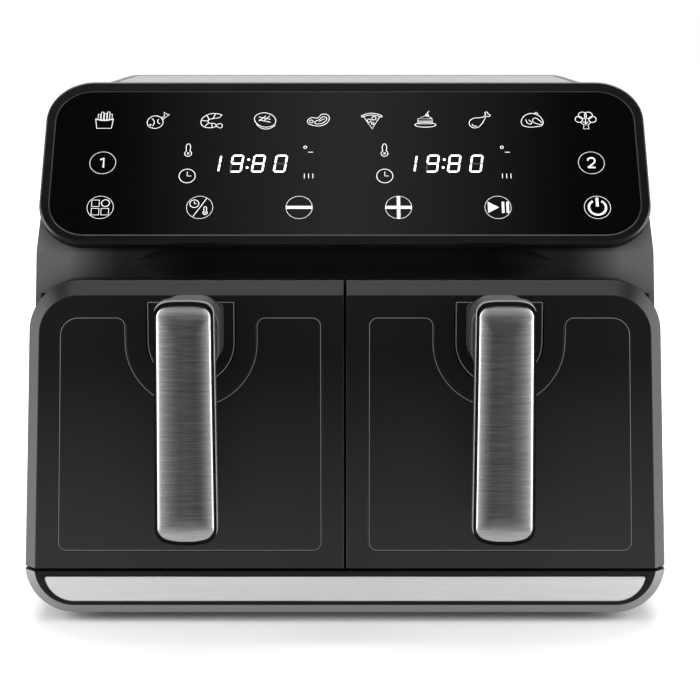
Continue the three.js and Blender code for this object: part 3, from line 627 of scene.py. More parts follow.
@dataclass(frozen=True)
class HousingPlastic:
    """The housing's grained plastic, with painted shade that darkens the finger recess over the
    drawers.
    """

    name: str
    colour: Colour
    roughness: float
    # painted shade: the near-black colour laid on the recess where shade falls
    inside: Colour = (0.0015, 0.0015, 0.0016)
    recess_half: tuple[float, float] = (0.130, 0.166)  # where the mask is whole, and its end
    recess_top: float = 0.243
    recess_back: float = -0.085
    soft: float = 0.004  # the width of the mask's edge

    def material(self) -> bpy.types.Material:
        """Builds the material."""
        graph = Graph(self.name)
        place = graph.place()
        across, along, up = graph.parts(place)
        aside = graph.add("ShaderNodeMath", {"operation": "ABSOLUTE"}, {0: across})
        whole, end = self.recess_half
        left_over = 1 - graph.ramp(aside, end, whole)
        below = graph.ramp(up, self.recess_top, self.recess_top - self.soft)
        ahead = graph.ramp(along, self.recess_back, self.recess_back - self.soft)
        # painted shade mask: darkens and roughens the recess, where shade falls
        painted_shade_mask = (1 - left_over * left_over) * below * ahead
        grain = graph.noise(950.0, place, 2.0)
        cloud = graph.noise(9.0, place, 4.0)
        lighter = tuple(min(1.0, part * 1.2 + 0.002) for part in self.colour)
        outside = graph.blend(cloud * 0.6 + grain * 0.4, self.colour, lighter)
        inside = graph.blend(grain, self.inside, tuple(part * 2 for part in self.inside))
        return graph.surface(
            base_color=graph.blend(painted_shade_mask, outside, inside),
            roughness=grain * 0.12 + painted_shade_mask * 0.35 + (self.roughness - 0.06),
            normal=graph.bump(grain, 0.03 * MM, 0.6),
            ior=1.28,
        )


@dataclass(frozen=True)
class PolishedPlastic:
    """Polished plastic or glass with faint haze."""

    name: str
    colour: Colour
    roughness: float = 0.06
    haze: float = 0.05

    def material(self) -> bpy.types.Material:
        """Builds the material."""
        graph = Graph(self.name)
        place = graph.place()
        smear = graph.noise(35.0, place, 5.0)
        ripple = graph.noise(12.0, place, 1.0)
        lighter = tuple(part * 1.3 for part in self.colour)
        return graph.surface(
            base_color=graph.blend(smear, self.colour, lighter),
            roughness=smear * self.haze + self.roughness,
            normal=graph.bump(ripple, 0.02 * MM, 0.3),
            coat_weight=0.3,
            coat_roughness=0.04,
            ior=1.5,
        )


@dataclass(frozen=True)
class BrushedSteel:
    """Steel brushed along X, with the lines spaced along one other axis."""

    name: str
    lines: Sequence[float]  # how many lines a metre along X, Y and Z
    colour: Colour = (0.62, 0.62, 0.62)
    darker: Colour = (0.42, 0.42, 0.43)
    roughness: float = 0.3
    depth: float = 0.006
    metallic: float = 1.0

    def material(self) -> bpy.types.Material:
        """Builds the material."""
        graph = Graph(self.name)
        fine = graph.noise(1.0, graph.place(self.lines), 2.0)
        wide = graph.noise(1.0, graph.place([count / 2.4 for count in self.lines]), 1.0)
        streak = fine * 0.7 + wide * 0.3
        return graph.surface(
            base_color=graph.blend(graph.step(streak, 0.3, 0.7), self.darker, self.colour),
            metallic=self.metallic,
            roughness=streak * 0.12 + (self.roughness - 0.06),
            normal=graph.bump(fine, self.depth * MM, 0.8),
        )


@dataclass(frozen=True)
class PlainMetal:
    """Rolled, cast or coated metal with a soft mottle."""

    name: str
    colour: Colour
    roughness: float
    mottle: float = 0.02  # size of the mottle in metres
    metallic: float = 1.0
    speckle: float = 0.0  # share of pale specks in a coating

    def material(self) -> bpy.types.Material:
        """Builds the material."""
        graph = Graph(self.name)
        place = graph.place()
        cloud = graph.noise(1 / self.mottle, place, 4.0)
        fine = graph.noise(1400.0, place, 2.0)
        specks = graph.step(fine, 0.66, 0.7)
        lighter = tuple(min(1.0, part * 1.35 + 0.02 * self.speckle) for part in self.colour)
        return graph.surface(
            base_color=graph.blend(cloud * 0.7 + specks * self.speckle, self.colour, lighter),
            metallic=self.metallic,
            roughness=cloud * 0.2 + (self.roughness - 0.1),
            normal=graph.bump(fine, 0.01 * MM, 0.5),
        )


@dataclass(frozen=True)
class CircuitBoard:
    """Green board with copper tracks under lacquer."""

    name: str = "circuit_board"
    green: Colour = (0.01, 0.09, 0.035)
    track: Colour = (0.03, 0.2, 0.08)

    def material(self) -> bpy.types.Material:
        """Builds the material."""
        graph = Graph(self.name)
        dark, dim = (0.0, 0.0, 0.0, 1.0), (0.2, 0.2, 0.2, 1.0)
        given = {"Vector": graph.place(), "Scale": 140.0, "Color1": dark, "Color2": dim}
        lines = graph.add("ShaderNodeTexBrick", {}, given, "Fac")
        return graph.surface(base_color=graph.blend(lines, self.green, self.track), roughness=0.35)


@dataclass(frozen=True)
class Lamp:
    """A lit mark: pale ink or a digit segment."""

    name: str
    colour: Colour
    glow: float

    def material(self) -> bpy.types.Material:
        """Builds the material."""
        graph = Graph(self.name)
        dapple = graph.noise(700.0, graph.place(), 1.0)
        dimmer = tuple(part * 0.85 for part in self.colour)
        tint = graph.blend(dapple, dimmer, self.colour)
        return graph.surface(
            base_color=tint, roughness=0.5, emission_color=tint, emission_strength=self.glow
        )


STEEL_TRIM = BrushedSteel(
    "steel_brushed_for_the_trim", (30.0, 30.0, 1500.0), grey(0.64), grey(0.58), 0.4, 0.004, 0.3
)
STEEL_HANDLE = BrushedSteel(
    "steel_brushed_for_handles", (64.0, 64.0, 2000.0), grey(0.46), grey(0.34), 0.24, 0.001
)
STEEL_LEVEL = BrushedSteel(
    "steel_brushed_for_level_faces", (30.0, 1500.0, 30.0), grey(0.43), grey(0.38), 0.3, 0.004
)
STEEL_POLISHED = PlainMetal("steel_polished_edge", grey(0.86), 0.2, 0.05)
# its finger recess is darkened by painted shade
HOUSING_GREY = HousingPlastic("housing_dark_grey", srgb(74, 74, 74), 0.45)
BASE_GREY = MouldedPlastic("base_dark_grey", srgb(16, 16, 16), 0.4, 0.35, 0.03, 1.3)
BASE_RIM_GREY = MouldedPlastic("base_rim_pale_grey", srgb(106, 106, 107), 0.35, 0.3, 0.01)
# its foot is painted paler, for the reflected light there
FRONT_BLACK = SatinFront(
    "front_satin_black", srgb(5, 5, 5), 0.36, 0.3, 0.015, 1.32, srgb(38, 38, 38)
)
# painted highlight: the pale grey of the line round the handle's bezel
BEZEL_HIGHLIGHT_GREY = MouldedPlastic("painted_bezel_edge_highlight", srgb(186, 186, 187), 0.25, 0.3, 0.0)
# painted highlight: the grey of the band that stands for light on the inlay's edge
INLAY_HIGHLIGHT_GREY = MouldedPlastic("painted_inlay_edge_highlight", srgb(96, 96, 97), 0.4, 0.3, 0.0)
# painted highlight: the pale grey of the band round the handle field's edge
FIELD_HIGHLIGHT_GREY = MouldedPlastic("painted_field_edge_highlight", srgb(104, 104, 105), 0.35, 0.3, 0.0)
MOUNT_GREY = MouldedPlastic("mount_satin_grey", srgb(42, 42, 43), 0.4)
RING_BLACK = MouldedPlastic("panel_ring_black", srgb(6, 6, 6), 0.2, 0.25, 0.01, 1.3)
TOUCH_BLACK = PolishedPlastic("touch_panel_black", srgb(1, 1, 1), 0.06, 0.03)
# painted highlight: the grey of the hairline round the glass
GLASS_EDGE_HIGHLIGHT = PolishedPlastic("painted_glass_edge_highlight", srgb(44, 44, 45), 0.3, 0.05)
HANDLE_BLACK = PolishedPlastic("handle_gloss_black", srgb(7, 7, 8), 0.1, 0.04)
WINDOW_BLACK = PolishedPlastic("unlit_segment", srgb(24, 23, 23), 0.4, 0.05)
INK_WHITE = Lamp("panel_ink", srgb(224, 224, 224), 0.5)
DIGIT_WHITE = Lamp("digit_lit", srgb(255, 255, 255), 1.3)
NON_STICK = PlainMetal("non_stick_coating", srgb(40, 41, 43), 0.42, 0.03, 0.15, 1.0)
LINER_SHEET = PlainMetal("aluminised_sheet", (0.48, 0.49, 0.5), 0.42, 0.008)
HEATER_TUBE = PlainMetal("heat_tinted_steel", (0.28, 0.25, 0.22), 0.45, 0.012)
SCREW_ZINC = PlainMetal("zinc_plate", (0.5, 0.5, 0.51), 0.35, 0.004)
MOTOR_CAN = PlainMetal("motor_can", (0.45, 0.46, 0.47), 0.4, 0.02)
NYLON = MouldedPlastic("white_nylon", srgb(214, 212, 204), 0.5)
RUBBER = MouldedPlastic("black_rubber", srgb(20, 20, 20), 0.8, 0.5, 0.04)
SILICONE = MouldedPlastic("grey_silicone", srgb(60, 60, 62), 0.6, 0.4, 0.02)

Plastic = MouldedPlastic | HousingPlastic | PolishedPlastic
Finish = Plastic | BrushedSteel | PlainMetal | CircuitBoard | Lamp


class Bench:
    """Turns meshes into pieces of the object and keeps the materials."""

    def __init__(self) -> None:
        """Starts with no material made."""
        self._made: dict[str, bpy.types.Material] = {}

    def material(self, finish: Finish) -> bpy.types.Material:
        """The material of a finish, made once."""
        if finish.name not in self._made:
            self._made[finish.name] = finish.material()
        return self._made[finish.name]

    def piece(
        self,
        name: str,
        made: Mesh,
        finish: Finish,
        body: str,
        slot: str,
        stands_for: Sequence[str] = (),
        ease: float = 0.0,
        crease: float = 32.0,
        accent: tuple[Finish, Callable[[Vector, Vector], bool]] | None = None,
    ) -> bpy.types.Object:
        """Makes one visible piece.

        Args:
            name: The piece's name.
            made: Its mesh in millimetres, in the frame's axes. It is used up.
            finish: What it is made of.
            body: The CAD body that it moves with.
            slot: The name of a material slot; it is not used.
            stands_for: The CAD nodes that it replaces.
            ease: How far its sharp edges are rounded, in millimetres.
            crease: The angle in degrees past which an edge is sharp.
            accent: A second finish, and a test of a face's middle and normal for where it goes.

        Returns:
            The piece's object.
        """
        if accent:
            made.normal_update()
            for face in made.faces:
                face.material_index = int(accent[1](face.calc_center_median(), face.normal))
        bmesh.ops.scale(made, vec=(MM, MM, MM), verts=made.verts[:])
        data = bpy.data.meshes.new(name)
        made.to_mesh(data)
        made.free()
        data.materials.append(self.material(finish))
        if accent:
            data.materials.append(self.material(accent[0]))
        data.shade_smooth()
        data.set_sharp_from_angle(angle=math.radians(crease))
        thing = bpy.data.objects.new(name, data)
        bpy.context.scene.collection.objects.link(thing)
        if ease > 0:
            rounding = thing.modifiers.new("eased_edges", "BEVEL")
            rounding.width = ease * MM
            rounding.segments = 2
            rounding.limit_method = "ANGLE"
            rounding.angle_limit = math.radians(crease)
            rounding.harden_normals = True
        flat = thing.modifiers.new("flat_faces_stay_flat", "WEIGHTED_NORMAL")
        flat.mode, flat.weight, flat.keep_sharp = "FACE_AREA", 100, True
        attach(thing, body)
        if stands_for:
            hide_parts(*stands_for)
        LOG.info("%s: %d faces on %s", name, len(data.polygons), body)
        return thing

    def dress(self, node: str, finish: Finish) -> None:
        """Gives a CAD node that stays visible its finish."""
        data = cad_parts[node].data
        data.materials.clear()
        data.materials.append(self.material(finish))


# ---- The body ----


def half_width(height: float) -> float:
    """Half the width of the drawer fronts' outline at a height, in millimetres."""
    return FRONT_HALF - SIDE_DRAFT * (height - FRONT_FOOT)


def arch(inset: float, low: float, high: float, rounding: float) -> list[Corner]:
    """The tapered outline of the body, with its two upper corners rounded.

    Args:
        inset: How far the outline is taken in at the sides and the top.
        low: The height of its foot.
        high: The height of its top before the inset.
        rounding: The rounding of the upper corners.

    Returns:
        The outline's corners.
    """
    foot = half_width(low) - BODY_SETBACK - inset
    head = half_width(high) - BODY_SETBACK - inset
    top = high - inset
    return [(-foot, low, 0), (foot, low, 0), (head, top, rounding), (-head, top, rounding)]


@dataclass(frozen=True)
class Slope:
    """The plane of the control panel."""

    foot_y: float = -134.4
    foot_z: float = 229.6
    head_y: float = -63.3
    head_z: float = 323.5

    @property
    def length(self) -> float:
        """From the panel's lower edge to its upper edge."""
        return math.hypot(self.head_y - self.foot_y, self.head_z - self.foot_z)

    @property
    def place(self) -> Matrix:
        """Sets a drawing on the slope, with its plane at the panel's face."""
        lean = math.atan2(self.head_z - self.foot_z, self.head_y - self.foot_y)
        return Matrix.Translation((0, self.foot_y, self.foot_z)) @ Matrix.Rotation(lean, 4, "X")

    @property
    def normal(self) -> Vector:
        """The direction that the panel faces."""
        return self.place.to_3x3() @ Vector((0, 0, 1))


SLOPE = Slope()
FACE_Y = Extent.of("drawer_front_right").low.y
REAR_Y = Extent.of("rear_cover").high.y


@dataclass
class Base:
    """The tray under the body, its steel trim, feet and vents."""

    bench: Bench
    half_width: float = 194.0
    low: float = 5.0
    top: float = 32.3
    rounding: float = 30.0
    rim: float = 6.4
    trim_half: float = 182.0
    trim_low: float = 13.7
    trim_top: float = 29.4
    trim_rounding: float = 18.0
    trim_tip: float = 1.8
    trim_depth: float = 1.5
    foot_radius: float = 11.0
    wall: float = 12.0
    hollow_half: float = 186.0
    vent_pitch: float = 14.0
    vent_half: tuple[float, float] = (35.0, 2.5)
    vents: int = 6

    def trim_outline(self, grow: float) -> list[Corner]:
        """The steel strip's outline before its top is cut level, let out by grow."""
        side, rounding = self.trim_half + grow, self.trim_rounding + grow
        return rectangle(-side, side, self.trim_low - grow, self.top + 60, rounding)

    def trim_blank(self, grow: float) -> Mesh:
        """The strip's flat face, with small tips where its round ends meet its level top."""
        made = blank(self.trim_outline(grow), 14)
        top = self.trim_top + grow
        bmesh.ops.bisect_plane(
            made,
            geom=made.verts[:] + made.edges[:] + made.faces[:],
            plane_co=(0, top, 0),
            plane_no=(0, 1, 0),
            clear_outer=True,
        )
        for side in Side:
            tip = max(made.verts[:], key=lambda vert: vert.co.x * side.value + vert.co.y)
            bevelled(made, [tip], "VERTICES", self.trim_tip, 6)
        return made

    def tray(self) -> Mesh:
        """The tray, with its trim recess and bottom vents."""
        depth = REAR_Y - FACE_Y
        whole = rectangle(-self.half_width, self.half_width, self.low, self.top + 60, self.rounding)
        made = thicken(blank(whole, 16), depth)
        ends = at_level(0), at_level(-depth)
        chamfer(made, lambda one, two: any(end(one, two) for end in ends), self.rim)
        trimmed(made, Vector((0, self.top, 0)), Vector((0, 1, 0)))
        recess = moved(thicken(self.trim_blank(0.6), 2 * self.trim_depth), level(self.trim_depth))
        opening = rectangle(-self.hollow_half, self.hollow_half, self.wall, self.top + 28)
        hollow = thicken(blank(opening), depth - 2 * self.wall)
        tools = [recess, moved(hollow, level(-self.wall))]
        made = moved(combine(made, "DIFFERENCE", *tools), frontal(FACE_Y))
        long, wide = self.vent_half
        slots = []
        for side in Side:
            for row in range(self.vents):
                across = side.value * CELL_X
                middle = (row - (self.vents - 1) / 2) * self.vent_pitch
                slot = thicken(blank(rectangle(-long, long, -wide, wide, wide - 0.1), 4), 30)
                slots.append(moved(slot, Matrix.Translation((across, middle, 20))))
        return combine(made, "DIFFERENCE", *slots)

    def on_rim(self, middle: Vector, normal: Vector) -> bool:
        """Picks the faces of the slanting rim round the tray's front."""
        return -0.95 < normal.y < -0.3 and normal.z < 0.3 and middle.y < FACE_Y + self.rim + 0.5

    def trim(self, inset: float, proud: float) -> Mesh:
        """The steel strip's plate, taken in by an inset and set proud of the recess."""
        made = thicken(self.trim_blank(-inset), self.trim_depth)
        chamfer(made, at_level(0), 0.3, 2)
        return moved(made, frontal(FACE_Y), level(proud))

    def foot(self, middle: Vector) -> Mesh:
        """A rubber foot with a hollow tread."""
        radius, top = self.foot_radius, self.low - CLEAR
        profile = [
            (0.0, 0.8),
            (radius - 4.0, 0.8),
            (radius - 3.2, 0.0),
            (radius - 1.2, 0.0),
            (radius - 0.2, 0.8),
            (radius, top),
            (0.0, top),
        ]
        return moved(turned(profile), Matrix.Translation((middle.x, middle.y, 0)))

    def build(self) -> None:
        """Makes every piece of the base."""
        make, on, steel = self.bench.piece, "chassis", "brushed_steel"
        rim = (BASE_RIM_GREY, self.on_rim)
        make("base_shell", self.tray(), BASE_GREY, on, "housing", ["base_tray"], 0.4, accent=rim)
        make("base_steel_strip", self.trim(0.55, 0.3), STEEL_TRIM, on, steel, ["base_trim"])
        make("base_strip_edge", self.trim(0.0, 0.05), STEEL_POLISHED, on, steel)
        for place in ("front_left", "front_right", "rear_left", "rear_right"):
            node = f"foot_{place}"
            made = self.foot(Extent.of(node).middle)
            make(f"rubber_foot_{place}", made, RUBBER, on, "rubber", [node], 0.2)
            self.bench.dress(f"base_screw_{place}", SCREW_ZINC)


@dataclass
class Housing:
    """The outer shell with its finger recess, and the top plate."""

    bench: Bench
    low: float = 33.0
    top: float = 319.0
    shoulder: float = 27.0
    wall: float = 3.0
    front_y: float = -129.5
    seat: float = 7.3  # how far the sloping wall lies behind the panel's face
    corner: float = 5.0
    recess_z: float = 218.0
    recess_ahead: float = 6.0  # the recess is turned about an axis this far before the wall
    recess_radius: float = 30.0
    recess_half_height: float = 13.5
    recess_straight: float = 92.0
    recess_end: float = 46.0
    neck_low: float = 200.0
    mouth_flare: float = 6.2
    mouth_corner: float = 38.0
    plate_half: float = 153.0
    plate_corner: float = 6.0
    plate_seat: float = 1.7

    def recess(self, grow: float) -> Mesh:
        """The space that fingers reach into over the drawers, which fades out at both ends."""
        steps = 14
        fade = [
            (0.5 + 0.5 * math.cos(math.pi * step / steps), step / steps) for step in range(steps)
        ]
        fade.append((0.0, 1.0))
        one_end = [(size, self.recess_straight + self.recess_end * along) for size, along in fade]
        profile = [(radius, -along) for radius, along in reversed(one_end)] + one_end
        squash = Matrix.Diagonal((1, self.recess_radius + grow, self.recess_half_height + grow, 1))
        lie = Matrix.Rotation(math.pi / 2, 4, "Y")
        centre = Matrix.Translation((0, self.front_y - self.recess_ahead, self.recess_z))
        return moved(turned(profile, 48), centre, squash, lie)

    def solid(self, inset: float, low: float, front: float, back: float, behind: float) -> Mesh:
        """The body's solid shape, cut off along the slope.

        Args:
            inset: How far the outline is taken in.
            low: The height of its foot.
            front: Y of its front.
            back: Y of its back.
            behind: How far the sloping cut lies behind the panel's face.

        Returns:
            A closed mesh in the frame's axes.
        """
        outline = arch(inset, low, self.top, self.shoulder - inset)
        made = thicken(blank(outline, 20), back - front)
        side = half_width(self.top) - 20

        def upright_side(one: Vector, two: Vector) -> bool:
            """Picks the two upright edges of the front."""
            return at_level(0)(one, two) and min(abs(one.x), abs(two.x)) > side

        if inset == 0:
            chamfer(made, upright_side, self.corner, 5)
        moved(made, frontal(front))
        return trimmed(made, SLOPE.place @ Vector((0, 0, -behind)), SLOPE.normal)

    def shell(self) -> Mesh:
        """The outer shell, open at the back and where the drawers go in."""
        back = Extent.of("outer_housing").high.y
        outer = self.solid(0, self.low, self.front_y, back, self.seat)
        front, behind = self.front_y + self.wall, self.seat + self.wall
        inner = self.solid(self.wall, self.low - 20, front, back + 20, behind)
        inner = combine(inner, "DIFFERENCE", self.recess(self.wall))
        mouth_half = half_width(self.neck_low) - BODY_SETBACK - self.wall
        mouth_foot = mouth_half + self.mouth_flare
        mouth = [
            (-mouth_foot, self.low - 20, 0),
            (mouth_foot, self.low - 20, 0),
            (mouth_half, self.neck_low, self.mouth_corner),
            (-mouth_half, self.neck_low, self.mouth_corner),
        ]
        opening = moved(thicken(blank(mouth), 40), frontal(self.front_y - 20))
        pocket = thicken(blank(self.plate_outline(0.5)), 20)
        dent = moved(pocket, level(self.top + 20 - self.plate_seat))
        return combine(outer, "DIFFERENCE", inner, opening, self.recess(0), dent)

    def plate_outline(self, grow: float) -> list[Corner]:
        """The outline of the plate on the top, let out by grow."""
        plate, half = Extent.of("top_plate"), self.plate_half + grow
        return rectangle(-half, half, plate.low.y - grow, plate.high.y + grow, self.plate_corner)

    def top_plate(self) -> Mesh:
        """The brushed plate on the top, with an eased edge."""
        plate = Extent.of("top_plate")
        made = thicken(blank(self.plate_outline(0)), plate.high.z - plate.low.z)
        chamfer(made, at_level(0), 0.6, 2)
        return moved(made, level(plate.high.z))

    def build(self) -> None:
        """Makes the shell and the top plate."""
        make, on = self.bench.piece, "chassis"
        make("housing_shell", self.shell(), HOUSING_GREY, on, "housing", ["outer_housing"], 0.6)
        make("top_steel_plate", self.top_plate(), STEEL_LEVEL, on, "brushed_steel", ["top_plate"])


@dataclass
class Rear:
    """The rear cover with its louvres, screws, stand-offs and flex outlet."""

    bench: Bench
    thickness: float = 5.7
    louvre_half: float = 24.0
    louvre_low: float = 174.0
    louvre_pitch: float = 6.0
    louvre_height: float = 3.4
    louvres: int = 5
    pad_half: float = 32.0
    pad_low: float = 166.0
    pad_high: float = 210.0
    screw_radius: float = 3.4
    screw_rows: tuple[tuple[float, float], ...] = ((172, 48), (166, 190), (140, 303))

    def screw_places(self) -> list[tuple[float, float]]:
        """Where the cover is screwed on."""
        return [(side.value * across, up) for side in Side for across, up in self.screw_rows]

    def backwards(self) -> Matrix:
        """Sets a drawing upright, facing the back, on the cover's outer face."""
        return frontal(REAR_Y) @ Matrix.Rotation(math.pi, 4, "Y")

    def cover(self) -> Mesh:
        """The cover, with rounded edges and openings."""
        outline = arch(0, Housing.low, Housing.top, Housing.shoulder)
        made = thicken(blank(outline, 20), self.thickness)
        above = Housing.low + 1
        chamfer(made, lambda one, two: at_level(0)(one, two) and max(one.y, two.y) >= above, 2.2, 4)
        gland = Extent.of("cord_gland").middle
        tools = [moved(bar(7.3, 20, 40), Matrix.Translation((-gland.x, gland.z, 0)))]
        for side in Side:
            across = side.value * CELL_X
            left, right = across - self.louvre_half, across + self.louvre_half
            for row in range(self.louvres):
                low = self.louvre_low + row * self.louvre_pitch
                slot = rectangle(left, right, low, low + self.louvre_height, 1.6)
                tools.append(moved(thicken(blank(slot, 4), 40), level(20)))
            left, right = across - self.pad_half, across + self.pad_half
            pad = rectangle(left, right, self.pad_low, self.pad_high, 6)
            tools.append(moved(thicken(blank(pad), 5), level(5 - 0.8)))
        for across, up in self.screw_places():
            tools.append(moved(bar(5, 1.2, 32), Matrix.Translation((across, up, 0))))
        return moved(combine(made, "DIFFERENCE", *tools), self.backwards())

    def screws(self) -> Mesh:
        """Pan heads with a cross recess, sunk in the cover."""
        heads = []
        for across, up in self.screw_places():
            rim = self.screw_radius
            head = turned([(0, -1.1), (rim, -1.1), (rim, -0.4), (2.2, 0), (0, 0)], 24)
            arms = []
            for turn in (0, math.pi / 2):
                arm = thicken(blank(rectangle(-2, 2, -0.4, 0.4)), 2)
                arms.append(moved(arm, Matrix.Rotation(turn, 4, "Z"), level(1.3)))
            head = combine(head, "DIFFERENCE", *arms)
            heads.append(moved(head, Matrix.Translation((across, up, 0))))
        return moved(together(*heads), self.backwards())

    def gland(self) -> Mesh:
        """The rubber bush that the flex leaves by, with grip rings."""
        box = Extent.of("cord_gland")
        inner, outer = REAR_Y - 3.3 - 3, box.high.y
        profile = [
            (3.6, inner),
            (9.5, inner),
            (9.5, inner + 3),
            (7.0, inner + 3),
            (7.0, REAR_Y + CLEAR),
            (9.5, REAR_Y + CLEAR),
            (9.5, outer - 2.6),
            (8.2, outer - 1.2),
            (7.2, outer - 1.0),
            (6.6, outer),
            (3.6, outer),
            (3.6, inner),
        ]
        spot = Matrix.Translation((box.middle.x, 0, box.middle.z))
        return moved(turned(profile), spot, Matrix.Rotation(-math.pi / 2, 4, "X"))

    def stand_off(self, side: Side) -> Mesh:
        """A block that keeps the outlets clear of a wall."""
        box = Extent.of(f"rear_spacer_{side.word}")
        low, high = box.low, box.high
        made = thicken(blank(rectangle(low.x, high.x, low.z, high.z, 4)), high.y - REAR_Y - CLEAR)
        chamfer(made, at_level(0), 1.5, 4)
        hollow = rectangle(low.x + 3.5, high.x - 3.5, low.z + 3.5, high.z - 3.5, 2)
        made = combine(made, "DIFFERENCE", moved(thicken(blank(hollow), 6), level(3)))
        flip = Matrix.Translation((2 * box.middle.x, high.y, 0)) @ Matrix.Rotation(math.pi, 4, "Z")
        return moved(made, flip, Matrix.Rotation(math.pi / 2, 4, "X"))

    def build(self) -> None:
        """Makes every piece of the rear."""
        make = self.bench.piece
        make("rear_shell", self.cover(), HOUSING_GREY, "chassis", "housing", ["rear_cover"], 0.3)
        make("rear_screws", self.screws(), SCREW_ZINC, "chassis", "screw")
        make("flex_bush", self.gland(), RUBBER, "chassis", "rubber", ["cord_gland"])
        for side in Side:
            name, nodes = f"stand_off_{side.word}", [f"rear_spacer_{side.word}"]
            make(name, self.stand_off(side), HOUSING_GREY, "chassis", "housing", nodes)


# ---- The control panel ----


class Icon(Enum):
    """The foods of the upper row, from left to right. GREENS is the last of them."""

    CHIPS = 0
    FISH = 1
    PRAWN = 2
    TOAST = 3
    CHOP = 4
    PIZZA = 5
    CAKE = 6
    DRUMSTICK = 7
    ROAST = 8
    GREENS = 9


def ring(radius: float, across: float = 0.0, up: float = 0.0, squash: float = 1.0) -> Stroke:
    """A circle, or an ellipse whose height is squash times its width."""
    turns = [math.tau * step / 12 for step in range(12)]
    tall = radius * squash
    return loop(*((across + radius * math.cos(turn), up + tall * math.sin(turn)) for turn in turns))


def arc(radius: float, start: float, end: float, across: float = 0.0, up: float = 0.0) -> Stroke:
    """Part of a circle, from one angle to another in degrees."""
    turns = [math.radians(start + (end - start) * step / 10) for step in range(11)]
    return curve(
        *((across + radius * math.cos(turn), up + radius * math.sin(turn)) for turn in turns)
    )


def box_line(left: float, right: float, low: float, high: float) -> Stroke:
    """A sharp-cornered box."""
    return line((left, low), (right, low), (right, high), (left, high), closed=True)


def line(*points: tuple[float, float], closed: bool = False) -> Stroke:
    """A line with sharp corners."""
    return Stroke(points, closed, smooth=False)


def curve(*points: tuple[float, float]) -> Stroke:
    """A smooth line."""
    return Stroke(points)


def loop(*points: tuple[float, float]) -> Stroke:
    """A smooth closed line."""
    return Stroke(points, closed=True)


